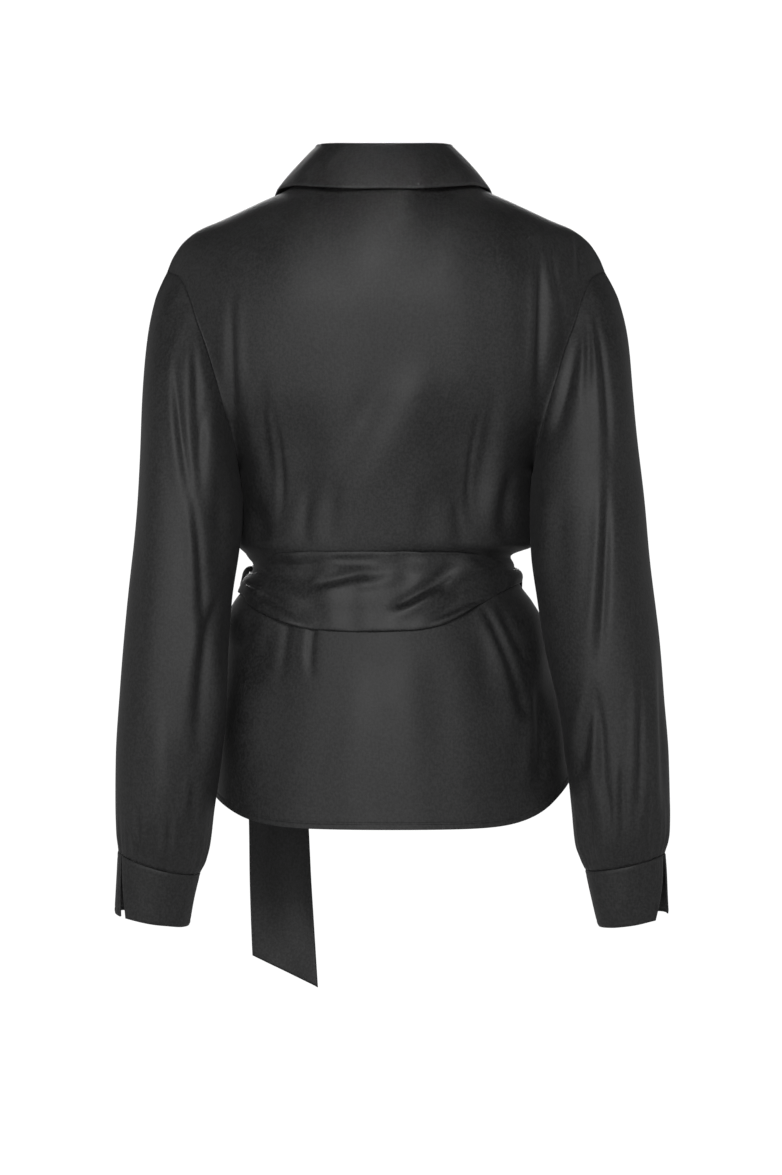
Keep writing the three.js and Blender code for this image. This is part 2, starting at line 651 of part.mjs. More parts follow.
// Collar: a stand that rises from the neckline, rolls over, and falls to the shoulders.
const COLLAR_STEPS = 16; // from the centre back to each front end
const COLLAR_SHIFT = 1.9; // it sits this far to the wearer's left
const COLLAR_LIFT = 1; // height of its seam above the cloth it is sewn to
const ROLL = 2.6; // half the space between the stand and the fall at the roll
function collar() {
  const keyed = COLLAR.map((row, i) => ({ ...row, at: i }));
  const end = COLLAR.length - 1;
  const place = (name, at, side) =>
    point(
      side * read(keyed, "at", at, name + "X") + COLLAR_SHIFT,
      read(keyed, "at", at, name + "Y"),
      read(keyed, "at", at, name + "Z"),
    );
  const sewn = (at, side) => {
    const share = read(keyed, "at", at, "share");
    const face = share > 0 ? -1 : 1;
    const angle = share > 0 ? -wrapAngle({ share }) : Math.min(NECK_ANGLE, read(keyed, "at", at, "neck"));
    const seam = yokePoint(face, angle, share);
    const lift = share > 0 ? bodyNormal(face, angle, { share }) : point(0, 0, 1);
    seam.addScaledVector(lift, COLLAR_LIFT);
    return seam.setX(seam.x * side);
  };
  const line = (signed) => {
    const [side, at] = [Math.sign(signed) || 1, (Math.abs(signed) / COLLAR_STEPS) * end];
    const [seam, fold, edge] = [sewn(at, side), place("fold", at, side), place("edge", at, side)];
    const out = edge.clone().sub(seam);
    const up = fold.clone().sub(seam).normalize();
    out.addScaledVector(up, -out.dot(up)).normalize();
    const lift = (p, o, u) => p.clone().addScaledVector(out, o).addScaledVector(up, u);
    const [standTop, fallTop] = [lift(fold, -ROLL, -ROLL), lift(fold, ROLL, -ROLL)];
    return [
      seam,
      seam.clone().lerp(standTop, 0.5),
      standTop,
      lift(fold, -ROLL * 0.6, -ROLL * 0.25),
      lift(fold, ROLL * 0.6, -ROLL * 0.25),
      fallTop,
      lift(fallTop.clone().lerp(edge, 0.33), 1.6, 0),
      lift(fallTop.clone().lerp(edge, 0.67), 1.2, 0),
      edge,
    ];
  };
  const lines = [];
  for (let i = -COLLAR_STEPS; i <= COLLAR_STEPS; i++) lines.push(line(i));
  return lines.map((row, j) =>
    row.map((spot, i) => {
      const run = lines[Math.min(j + 1, lines.length - 1)][i].clone().sub(lines[Math.max(j - 1, 0)][i]);
      const over = row[Math.min(i + 1, row.length - 1)].clone().sub(row[Math.max(i - 1, 0)]);
      return { place: spot, normal: run.cross(over).normalize() };
    }),
  );
}
add("collar", wall(collar(), DOUBLE_CLOTH));

// Sash: wound once round the waist over the body's own surface, in two stretches that meet at the
// right side and under the knot at the left.
const SASH_ACROSS = 6;
function sashPoint(around, across, out) {
  const turned = ((around + 180) % 360) - 180;
  const face = Math.abs(turned) <= 90 ? 1 : -1;
  const angle = face > 0 ? turned : Math.sign(turned) * 180 - turned;
  const height = lerp(read(SASH, "angle", around, "top"), read(SASH, "angle", around, "bottom"), across);
  const level = { height };
  const place = skirtPoint(face, angle, height);
  const normal = bodyNormal(face, angle, level);
  const fold = Math.max(0, bodyFold(face, angle, place));
  place.addScaledVector(normal, out + fold + 2.5 * Math.sin(Math.PI * across));
  return { place, normal };
}
function sash(from, to, steps) {
  return Array.from({ length: steps + 1 }, (_, j) =>
    Array.from({ length: SASH_ACROSS + 1 }, (_, i) =>
      sashPoint(lerp(from, to, j / steps), i / SASH_ACROSS, SASH_CLEARANCE + DOUBLE_CLOTH),
    ),
  );
}
add("sash_back", wall(sash(-89.8, 117.8, 27), DOUBLE_CLOTH), SASH_TONE);
add("sash_front", wall(sash(118.2, 269.8, 21), DOUBLE_CLOTH), SASH_TONE);

// Knot: the two ends cross in one rounded lump of cloth.
function knot() {
  const shape = new THREE.SphereGeometry(1, 16, 10);
  shape.deleteAttribute("normal");
  shape.deleteAttribute("uv");
  shape.rotateX(radians(90));
  shape.scale(KNOT.halfWidth, KNOT.halfDepth, KNOT.halfHeight);
  shape.rotateZ(radians(KNOT.turn));
  shape.translate(KNOT.x, KNOT.y, KNOT.z);
  return shape;
}
add("sash_knot", knot(), SASH_TONE);

// Tails: flat doubled strips that hang from the knot down the left front, each cut off at a slant.
const TAIL_ACROSS = 4;
function tail(rows, steps, fold) {
  const grid = Array.from({ length: steps + 1 }, (_, j) => {
    const z = lerp(rows[0].z, rows[rows.length - 1].z, j / steps);
    const at = (column) => read(rows, "z", z, column);
    const turn = radians(at("turn"));
    return Array.from({ length: TAIL_ACROSS + 1 }, (_, i) => {
      const across = i / TAIL_ACROSS - 0.5;
      const wave = fold * Math.cos(Math.PI * 2 * across) * Math.sin((Math.PI * j) / steps);
      return point(
        at("x") - across * at("width") * Math.cos(turn) + wave * Math.sin(turn),
        at("y") - across * at("width") * Math.sin(turn) - wave * Math.cos(turn),
        z - across * at("slant"),
      );
    });
  });
  return grid.map((row, j) =>
    row.map((spot, i) => {
      const down = grid[Math.min(j + 1, steps)][i].clone().sub(grid[Math.max(j - 1, 0)][i]);
      const over = row[Math.min(i + 1, TAIL_ACROSS)].clone().sub(row[Math.max(i - 1, 0)]);
      return { place: spot, normal: over.cross(down).normalize() };
    }),
  );
}
add("sash_tail_long", wall(tail(TAIL_LONG, 16, 4), DOUBLE_CLOTH), SASH_TONE);
add("sash_tail_short", wall(tail(TAIL_SHORT, 10, 3), DOUBLE_CLOTH), SASH_TONE);

export default group;
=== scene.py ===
"""A dark satin wrap top, seen from behind: collar, long full sleeves, slit cuffs and a wound sash."""
import math

import bmesh
import bpy
import numpy as np
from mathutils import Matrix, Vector


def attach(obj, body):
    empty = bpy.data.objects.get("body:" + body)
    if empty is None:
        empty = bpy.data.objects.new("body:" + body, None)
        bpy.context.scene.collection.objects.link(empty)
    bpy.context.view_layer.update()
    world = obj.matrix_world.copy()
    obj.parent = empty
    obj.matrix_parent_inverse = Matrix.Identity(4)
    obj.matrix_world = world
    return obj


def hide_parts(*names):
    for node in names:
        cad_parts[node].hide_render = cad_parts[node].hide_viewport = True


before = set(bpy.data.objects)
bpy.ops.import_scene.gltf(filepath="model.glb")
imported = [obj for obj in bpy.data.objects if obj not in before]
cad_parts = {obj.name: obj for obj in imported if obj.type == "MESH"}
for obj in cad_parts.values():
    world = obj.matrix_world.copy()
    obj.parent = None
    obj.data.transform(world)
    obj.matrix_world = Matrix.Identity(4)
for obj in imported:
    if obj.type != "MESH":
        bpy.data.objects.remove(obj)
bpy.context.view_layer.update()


# ---------------------------------------------------------------- studio
# The top is photographed from straight behind on plain white, level with its middle. The camera
# stands 3.5 m away, so that its long lens shows the cloth with little perspective.
PHOTO_HEIGHT = 1175  # pixels
PIXEL_AT_SHOULDERS = 0.00097  # metres that one pixel covers there
CAMERA_DISTANCE = 3.5
SENSOR_HEIGHT = 24  # millimetres

camera_data = bpy.data.cameras.new("camera")
camera_data.sensor_fit = "VERTICAL"
camera_data.sensor_height = SENSOR_HEIGHT
camera_data.lens = SENSOR_HEIGHT * CAMERA_DISTANCE / (PHOTO_HEIGHT * PIXEL_AT_SHOULDERS)
camera = bpy.data.objects.new("camera", camera_data)
camera.location = (-0.00485, CAMERA_DISTANCE, -0.382)
camera.rotation_euler = (math.radians(90), 0, math.radians(180))
bpy.context.collection.objects.link(camera)
bpy.context.scene.camera = camera
bpy.context.scene.view_settings.view_transform = "Standard"


def softbox(name, place, aim, width, height, power):
    """A soft rectangular light at a place, turned towards a point. Gives back its data."""
    data = bpy.data.lights.new(name, "AREA")
    data.shape = "RECTANGLE"
    data.size = width
    data.size_y = height
    data.energy = power
    light = bpy.data.objects.new(name, data)
    light.location = place
    light.rotation_euler = (Vector(aim) - Vector(place)).to_track_quat("-Z", "Y").to_euler()
    bpy.context.collection.objects.link(light)
    return data


softbox("key_light", place=(0.2, 3.1, 0.98), aim=(0, 0, -0.3), width=1.2, height=0.7, power=33)
softbox("low_light", place=(1.7, 2.7, -0.8), aim=(0.1, 0, -0.6), width=1.5, height=0.4, power=6)
collar_light = softbox(
    "collar_light", place=(0.1, 2.0, 2.2), aim=(0, 0.05, 0.04), width=0.2, height=0.08, power=0.022
)
collar_light.spread = math.radians(6)  # narrow, so that it reaches the collar only
softbox("front_light", place=(0.1, -2.9, 0.9), aim=(0, 0, -0.3), width=1.6, height=1.6, power=75)

# The walls round the top glow, and what lies above and below it is dark, so the shoulders stay dark.
# To the camera itself the room and its floor are plain white.
WALL_GLOW, CEILING_GLOW, CEILING_FROM = 0.42, 0.03, 0.6
ROOM_SEEN, FLOOR_SEEN = 1.05, 0.95
FLOOR_RADIUS, FLOOR_LEVEL, FLOOR_GREY = 3.2, -1.15, 0.5

world = bpy.data.worlds.new("white_room")
bpy.context.scene.world = world
world.use_nodes = True
world_nodes, world_links = world.node_tree.nodes, world.node_tree.links
room = world_nodes["Background"]
room.inputs["Color"].default_value = (1, 1, 1, 1)
direction = world_nodes.new("ShaderNodeTexCoord")
upward = world_nodes.new("ShaderNodeSeparateXYZ")
world_links.new(direction.outputs["Generated"], upward.inputs["Vector"])
off_level = world_nodes.new("ShaderNodeMath")
off_level.operation = "ABSOLUTE"
world_links.new(upward.outputs["Z"], off_level.inputs[0])
walls = world_nodes.new("ShaderNodeMapRange")
walls.inputs["From Max"].default_value = CEILING_FROM
walls.inputs["To Min"].default_value = WALL_GLOW
walls.inputs["To Max"].default_value = CEILING_GLOW
world_links.new(off_level.outputs["Value"], walls.inputs["Value"])
seen = world_nodes.new("ShaderNodeLightPath")
brightness = world_nodes.new("ShaderNodeMix")
brightness.inputs["B"].default_value = ROOM_SEEN
world_links.new(seen.outputs["Is Camera Ray"], brightness.inputs["Factor"])
world_links.new(walls.outputs["Result"], brightness.inputs["A"])
world_links.new(brightness.outputs["Result"], room.inputs["Strength"])

floor_mesh = bmesh.new()
bmesh.ops.create_circle(floor_mesh, cap_ends=True, segments=96, radius=FLOOR_RADIUS)
bmesh.ops.translate(floor_mesh, verts=floor_mesh.verts, vec=(0, 0, FLOOR_LEVEL))
floor_data = bpy.data.meshes.new("floor")
floor_mesh.to_mesh(floor_data)
floor_mesh.free()
floor = bpy.data.objects.new("floor", floor_data)
bpy.context.collection.objects.link(floor)
pale_floor = bpy.data.materials.new("pale_floor")
pale_floor.use_nodes = True
pale_paint = pale_floor.node_tree.nodes["Principled BSDF"]
pale_paint.inputs["Base Color"].default_value = (FLOOR_GREY, FLOOR_GREY, FLOOR_GREY, 1)
pale_paint.inputs["Roughness"].default_value = 0.9
pale_paint.inputs["Emission Color"].default_value = (1, 1, 1, 1)
floor_seen = pale_floor.node_tree.nodes.new("ShaderNodeLightPath")
floor_glow = pale_floor.node_tree.nodes.new("ShaderNodeMath")
floor_glow.operation = "MULTIPLY"
floor_glow.inputs[1].default_value = FLOOR_SEEN
pale_floor.node_tree.links.new(floor_seen.outputs["Is Camera Ray"], floor_glow.inputs[0])
pale_floor.node_tree.links.new(floor_glow.outputs["Value"], pale_paint.inputs["Emission Strength"])
floor_data.materials.append(pale_floor)


# ---------------------------------------------------------------- back
# One panel of satin from armhole to armhole. Two long darts and the sash draw it in at the waist,
# it blouses a little above the sash, and below it falls in a short flared skirt with a stitched hem.
MM = 0.001  # the tables and surfaces of all pieces are in millimetres, their angles in degrees
SHOULDER_REACH, SHOULDER_POINT, UNDERARM = 212, -75, -270
NECK_REACH, NECK_POINT, NECK_BACK, NECK_DEPTH, SHOULDER_DEPTH = 68, 16, 8, 56, 4
HEM, HEM_FRONT, HEM_RISE_LEFT, HEM_RISE_RIGHT, SKIRT_TOP = -609, -596, 27, 46, -430
HEM_CORNER = 6  # power that keeps the hem level until close to the side seams
NECK_CURVE, NECK_CURVE_BELOW, NECK_CURVE_END = 0.5, 1.6, 0.08  # powers at the neckline and just below it
SHOULDER_ROLL = 0.5  # share of the way to the underarm over which a shoulder rolls out
ARMHOLE_CURVE, ARMHOLE_CURVE_BELOW = 6, 24  # powers that turn the cloth in towards the armhole
BODY_ROUND = 0.95
SIDE_SEAM = 89.999  # a hair under 90, where the normals of a panel would be undefined
YOKE_PART = 0.4  # share of a panel's rows that lie above the underarm
UNDERARM_ROUNDS = 14  # times that the rows by the underarm are averaged with their neighbours


def table(columns, *rows):
    """Rows of a table as arrays, one for each named column."""
    return {name: np.array([row[i] for row in rows], float) for i, name in enumerate(columns.split())}


RIDGE = table(
    "reach height",
    (0, 24), (68, 16), (101, 0), (117, -7), (161, -27), (180, -35), (196, -47), (207, -63), (212, -75),
)
ARMHOLE = table(
    "share reach back front side_back side_front centre_back centre_front",
    (0.0, 212, 0, 0, 60, -52, 104, -76),
    (0.04, 199, 24, -20, 60, -52, 104, -78),
    (0.15, 188, 40, -34, 60, -52, 105, -84),
    (0.26, 181, 50, -43, 60, -52, 106, -92),
    (0.4, 171, 58, -50, 60, -52, 107, -104),
    (0.57, 161, 62, -53, 58, -50, 106, -118),
    (0.7, 154, 59, -50, 48, -40, 104, -125),
    (0.85, 147, 44, -36, 27, -15, 101, -124),
    (0.95, 143, 26, -16, 11.5, 1.5, 99, -120),
    (1.0, 142, 6, 6, 6, 6, 98, -117),
)
TORSO = table(
    "height half_width centre back front side",
    (-270, 142, 0, 98, -117, 6),
    (-283, 140.4, 0, 97, -116, 1),
    (-300, 141.2, 0, 95, -114, -5),
    (-325, 143, 0, 91, -108, -9),
    (-341, 144, 0, 88, -102, -12),
    (-351, 128, 7, 85, -96, -9),
    (-360, 126.5, 2, 83, -92, -6),
    (-369, 128.5, 2, 82, -90, -5),
    (-381, 134, 3, 84, -91, -6),
    (-396, 145, 3, 89, -94, -9),
    (-412, 153, 2, 95, -98, -12),
    (-443, 157, -1, 104, -104, -15),
    (-480, 160, -2, 112, -110, -16),
    (-530, 165, -4, 119, -115, -16),
    (-609, 173, -7, 124, -119, -14),
)


def read(rows, key, at, column):
    """A column of a table at any place between its rows, on a smooth curve that never overshoots."""
    keys, values = rows[key], rows[column]
    if keys[-1] < keys[0]:
        keys, values = keys[::-1], values[::-1]
    at = np.clip(np.asarray(at, float), keys[0], keys[-1])
    slope = np.diff(values) / np.diff(keys)
    before, after = slope[:-1], slope[1:]
    both = np.where(before + after == 0, 1, before + after)
    joined = np.where(before * after > 0, 2 * before * after / both, 0)
    tangent = np.concatenate([slope[:1], joined, slope[-1:]])
    i = np.clip(np.searchsorted(keys, at, side="right") - 1, 0, len(keys) - 2)
    span = keys[i + 1] - keys[i]
    t = (at - keys[i]) / span
    return (
        values[i] * (1 + 2 * t) * (1 - t) ** 2
        + tangent[i] * span * t * (1 - t) ** 2
        + values[i + 1] * t * t * (3 - 2 * t)
        + tangent[i + 1] * span * t * t * (t - 1)
    )


def blend(a, b, share):
    """The value that lies this share of the way from a to b."""
    return a + (b - a) * share


def ease(value, low, high):
    """0 up to low, 1 from high on, and a smooth rise between them."""
    t = np.clip((value - low) / (high - low), 0, 1)
    return t * t * (3 - 2 * t)


def yoke_surface(face, angle, share):
    """The body above the underarm. share runs from the shoulder seam to the underarm."""
    across = np.sin(np.radians(angle))
    reach = SHOULDER_REACH * np.abs(across)
    neck = np.minimum(1, reach / NECK_REACH)
    over_neck = (face > 0) & (neck < 1)
    neck_z = blend(NECK_BACK, NECK_POINT, neck**2)
    ridge_z = np.where(over_neck, neck_z, read(RIDGE, "reach", reach, "height"))
    round_neck = blend(NECK_CURVE, NECK_CURVE_BELOW, np.minimum(1, share / NECK_CURVE_END))
    neck_y = blend(SHOULDER_DEPTH, NECK_DEPTH, np.maximum(0, 1 - neck**2) ** round_neck)
    seam_y = SHOULDER_DEPTH * np.maximum(0, 1 - reach / SHOULDER_REACH)
    ridge_y = np.where(over_neck, neck_y, seam_y)
    half = "back" if face > 0 else "front"
    edge = read(ARMHOLE, "share", share, half)
    full = read(ARMHOLE, "share", share, "side_" + half)
    middle = read(ARMHOLE, "share", share, "centre_" + half)
    roll = np.sin(np.radians(90) * np.minimum(1, np.sqrt(share / SHOULDER_ROLL)))
    roundness = np.maximum(np.cos(np.radians(angle)), 0) ** BODY_ROUND
    inner = ridge_y + (full + (middle - full) * roundness - ridge_y) * roll
    turned_in = np.abs(across) ** ARMHOLE_CURVE, np.abs(across) ** ARMHOLE_CURVE_BELOW
    at_edge = blend(*turned_in, ease(share, 0.3, 0.9))
    x = read(ARMHOLE, "share", share, "reach") * across
    return np.stack([x, blend(inner, edge, at_edge), blend(ridge_z, UNDERARM, share)], -1)


def skirt_surface(face, angle, height):
    """The body below the underarm. height is the level at the centre: the hem climbs to the sides."""
    across = np.sin(np.radians(angle))
    half_width = read(TORSO, "height", height, "half_width")
    centre = read(TORSO, "height", height, "centre")
    side = read(TORSO, "height", height, "side")
    depth = read(TORSO, "height", height, "back" if face > 0 else "front")
    rise = np.where(across > 0, HEM_RISE_LEFT, HEM_RISE_RIGHT)
    lift = 0 if face > 0 else HEM_FRONT - HEM
    fall = ease(SKIRT_TOP - height, 0, SKIRT_TOP - HEM)
    y = side + (depth - side) * np.maximum(np.cos(np.radians(angle)), 0) ** BODY_ROUND
    z = height + fall * blend(lift, rise, np.abs(across) ** HEM_CORNER)
    return np.stack([centre + half_width * across, y, z], -1)


def body_surface(face, angle, down):
    """The whole body, its back (face 1) or its front (-1). down runs from the shoulder to the hem."""
    share = (1 - np.cos(np.pi * np.minimum(1, down / YOKE_PART))) / 2
    height = blend(UNDERARM, HEM, np.clip((down - YOKE_PART) / (1 - YOKE_PART), 0, 1))
    upper = yoke_surface(face, angle, share)
    lower = skirt_surface(face, angle, height)
    places = np.where((down <= YOKE_PART)[..., None], upper, lower)
    eased = places.copy()
    for _ in range(UNDERARM_ROUNDS):
        eased[1:-1] = (eased[:-2] + 2 * eased[1:-1] + eased[2:]) / 4
    return blend(eased, places, ease(np.abs(down - YOKE_PART), 0.03, 0.1)[..., None])


def outward(places, ring=False):
    """Normals of a grid of places, taken from the neighbours of each."""
    if ring:
        closed = np.concatenate([places[:, -2:-1], places, places[:, 1:2]], 1)
        across = (closed[:, 2:] - closed[:, :-2]) / 2
    else:
        across = np.gradient(places, axis=1)
    normals = np.cross(across, np.gradient(places, axis=0))
    return normals / np.maximum(np.linalg.norm(normals, axis=-1, keepdims=True), 1e-9)


CREASE = "from_x from_z mid_x mid_z to_x to_z width depth ridge"
CREASE_POINTS = 11  # along its path
RIDGE_AWAY, RIDGE_WIDTH = 1.7, 1.3  # the ridge beside a trough, as shares of the trough's width


def crease_relief(places, creases, fade_in=0.42):
    """Height of soft creases, each laid through three points in x and z: a trough with a ridge on one
    side, that fades at both ends. One whose depth is below 0 stands out instead, and the sign of ridge
    says which side the ridge is on."""
    relief = np.zeros(places.shape[:-1])
    flat = places[..., [0, 2]]
    steps = np.linspace(0, 1, CREASE_POINTS)[:, None]
    for k in range(len(creases["width"])):
        c = {name: creases[name][k] for name in creases}
        start, mid, end = (np.array([c[p + "_x"], c[p + "_z"]]) for p in ("from", "mid", "to"))
        bend = 2 * mid - (start + end) / 2
        path = (1 - steps) ** 2 * start + 2 * steps * (1 - steps) * bend + steps**2 * end
        reach = 4 * abs(c["width"])
        low, high = path.min(0) - reach, path.max(0) + reach
        near = np.all((flat > low) & (flat < high), -1)
        if not near.any():
            continue
        spots = flat[near]
        best = np.full(len(spots), 1e9)
        along = np.zeros(len(spots))
        side = np.zeros(len(spots))
        for i in range(len(path) - 1):
            run = path[i + 1] - path[i]
            away = spots - path[i]
            t = np.clip(away @ run / (run @ run), 0, 1)
            gap = away - t[:, None] * run
            distance = np.hypot(gap[:, 0], gap[:, 1])
            closer = distance < best
            best = np.where(closer, distance, best)
            along = np.where(closer, (i + t) / (len(path) - 1), along)
            turned = run[0] * away[:, 1] - run[1] * away[:, 0]
            side = np.where(closer, np.sign(turned), side)
        fade = ease(along, 0, fade_in) * ease(1 - along, 0, fade_in)
        w = c["width"] * (0.75 + 0.5 * along)
        trough = c["depth"] * np.exp(-((best / w) ** 2))
        from_ridge = best * side * np.sign(c["ridge"] + 1e-9) - RIDGE_AWAY * w
        beside = abs(c["ridge"]) * np.exp(-((from_ridge / (RIDGE_WIDTH * w)) ** 2))
        relief[near] += (beside - trough) * fade
    return relief


WAVES = 14


def unevenness(places, seed, amount, size):
    """Slow swells and hollows of loose cloth, longer down the piece than across it."""
    draw = np.random.RandomState(seed)
    total = np.zeros(places.shape[:-1])
    for _ in range(WAVES):
        wave = draw.uniform(0.6, 1.7) / size
        tilt = draw.uniform(-0.45, 0.45)
        direction = np.array([math.cos(tilt), draw.uniform(-0.6, 0.6), math.sin(tilt) * 0.7]) * wave
        total += draw.uniform(0.5, 1) * np.sin(places @ direction * 2 * math.pi + draw.uniform(0, 6.3))
    return total * amount / 3


SINGLE, DOUBLE, SASH_DOUBLE = 0.8, 1.6, 1.4  # thickness of the cloth in one layer and in two
HEM_ROWS, HEM_ZONE = 26, 0.022  # the last rows of a panel are crowded into this share of its length


def lay_cloth(name, columns, rows, surface, flat, ring=False, thickness=SINGLE, hem=0):
    """A thin shell of cloth: a grid laid on a surface, which is given by its shares across and down.
    The last rows, as many as hem says, lie close together so that a row of stitches shows there.
    The cloth's own UV map runs in metres, across and down the piece as it was cut."""
    shell = bmesh.new()
    bmesh.ops.create_grid(shell, x_segments=columns, y_segments=rows, size=0.5)
    uv = shell.loops.layers.uv.new("cloth")
    row_at = np.linspace(0, 1, rows + 1)
    if hem:
        above = np.linspace(0, 1 - HEM_ZONE, rows - hem, endpoint=False)
        row_at = np.concatenate([above, np.linspace(1 - HEM_ZONE, 1, hem + 1)])
    shares = [(round((v.co.x + 0.5) * columns), round((0.5 - v.co.y) * rows)) for v in shell.verts]
    for f in shell.faces:
        for loop in f.loops:
            i, j = shares[loop.vert.index]
            loop[uv].uv = (i / columns * flat[0], -row_at[j] * flat[1])
    across, down = np.meshgrid(np.linspace(0, 1, columns + 1), row_at)
    places, normals = surface(across, down)
    for v, (i, j) in zip(shell.verts, shares):
        v.co = places[j, i] * MM
    if ring:
        bmesh.ops.remove_doubles(shell, verts=shell.verts, dist=0.00001)
    shell.normal_update()
    if ring:
        middle = Vector(places.reshape(-1, 3).mean(0) * MM)
        facing = sum(f.normal.dot(f.calc_center_median() - middle) for f in shell.faces)
    else:
        corners = [shares[f.verts[0].index] for f in shell.faces]
        facing = sum(f.normal.dot(Vector(normals[j, i])) for f, (i, j) in zip(shell.faces, corners))
    if facing < 0:
        bmesh.ops.reverse_faces(shell, faces=shell.faces)
    data = bpy.data.meshes.new(name)
    shell.to_mesh(data)
    shell.free()
    for polygon in data.polygons:
        polygon.use_smooth = True
    piece = bpy.data.objects.new(name, data)
    bpy.context.collection.objects.link(piece)
    wall = piece.modifiers.new("wall", "SOLIDIFY")
    wall.thickness = thickness * MM
    wall.offset = -1
    wall.use_even_offset = False
    return piece


WEAVE_SIZE, STREAK_STRETCH = 430, 0.16
WEAVE_SHARE, MOTTLE_SHARE, FINE_SHARE = 0.7, 0.25, 0.3


def satin_grain_group():
    """Fine uneven satin: short streaks along the cloth's length, an even weave and slow mottling.
    Puts out a shade, a share for the roughness and a height."""
    grain = bpy.data.node_groups.new("satin_grain", "ShaderNodeTree")
    for socket, start in (("Warp Size", 700.0), ("Mottle Size", 16.0)):
        entry = grain.interface.new_socket(socket, in_out="INPUT", socket_type="NodeSocketFloat")
        entry.default_value = start
    for socket in ("Shade", "Rough", "Height"):
        grain.interface.new_socket(socket, in_out="OUTPUT", socket_type="NodeSocketFloat")
    nodes, links = grain.nodes, grain.links
    given, result = nodes.new("NodeGroupInput"), nodes.new("NodeGroupOutput")
    cloth = nodes.new("ShaderNodeUVMap")
    cloth.uv_map = "cloth"
    stretch = nodes.new("ShaderNodeMapping")
    stretch.inputs["Scale"].default_value = (1, STREAK_STRETCH, 1)
    links.new(cloth.outputs["UV"], stretch.inputs["Vector"])
    warp = nodes.new("ShaderNodeTexNoise")
    warp.inputs["Detail"].default_value = 2
    links.new(stretch.outputs["Vector"], warp.inputs["Vector"])
    links.new(given.outputs["Warp Size"], warp.inputs["Scale"])
    weave = nodes.new("ShaderNodeTexNoise")
    weave.inputs["Detail"].default_value = 1
    weave.inputs["Scale"].default_value = WEAVE_SIZE
    place = nodes.new("ShaderNodeTexCoord")
    links.new(place.outputs["Object"], weave.inputs["Vector"])
    mottle = nodes.new("ShaderNodeTexNoise")
    mottle.inputs["Detail"].default_value = 4
    mottle.inputs["Roughness"].default_value = 0.6
    links.new(place.outputs["Object"], mottle.inputs["Vector"])
    links.new(given.outputs["Mottle Size"], mottle.inputs["Scale"])

    def mixed(a, b, share):
        mix = nodes.new("ShaderNodeMix")
        mix.inputs["Factor"].default_value = share
        links.new(a, mix.inputs["A"])
        links.new(b, mix.inputs["B"])
        return mix.outputs["Result"]

    fine = mixed(warp.outputs["Fac"], weave.outputs["Fac"], WEAVE_SHARE)
    links.new(mixed(fine, mottle.outputs["Fac"], MOTTLE_SHARE), result.inputs["Shade"])
    links.new(mixed(mottle.outputs["Fac"], fine, FINE_SHARE), result.inputs["Rough"])
    links.new(fine, result.inputs["Height"])
    return grain


SATIN_GRAIN = satin_grain_group()


def satin(name, dark, light, roughness, sheen):
    """Dark dyed satin. dark and light are the limits of its uneven colour, and its roughness varies a
    little on both sides of the value given."""
    material = bpy.data.materials.new(name)
    material.use_nodes = True
    nodes, links = material.node_tree.nodes, material.node_tree.links
    surface = nodes["Principled BSDF"]
    grain = nodes.new("ShaderNodeGroup")
    grain.node_tree = SATIN_GRAIN
    colour = nodes.new("ShaderNodeValToRGB")
    colour.color_ramp.elements[0].position = 0.4
    colour.color_ramp.elements[1].position = 0.6
    colour.color_ramp.elements[0].color = (*dark, 1)
    colour.color_ramp.elements[1].color = (*light, 1)
    links.new(grain.outputs["Shade"], colour.inputs["Fac"])
    links.new(colour.outputs["Color"], surface.inputs["Base Color"])
    gloss = nodes.new("ShaderNodeMapRange")
    gloss.inputs["From Min"].default_value = 0.3
    gloss.inputs["From Max"].default_value = 0.7
    gloss.inputs["To Min"].default_value = roughness - 0.05
    gloss.inputs["To Max"].default_value = roughness + 0.06
    links.new(grain.outputs["Rough"], gloss.inputs["Value"])
    links.new(gloss.outputs["Result"], surface.inputs["Roughness"])
    relief = nodes.new("ShaderNodeBump")
    relief.inputs["Strength"].default_value = 0.5
    relief.inputs["Distance"].default_value = 0.0003
    links.new(grain.outputs["Height"], relief.inputs["Height"])
    links.new(relief.outputs["Normal"], surface.inputs["Normal"])
    surface.inputs["Sheen Weight"].default_value = sheen
    surface.inputs["Sheen Roughness"].default_value = 0.5
    surface.inputs["Sheen Tint"].default_value = (0.7, 0.7, 0.72, 1)
    surface.inputs["Specular IOR Level"].default_value = 0.9
    return material


BODY_SATIN = satin("body_satin", (0.005, 0.005, 0.0052), (0.027, 0.027, 0.0275), 0.61, 0.05)

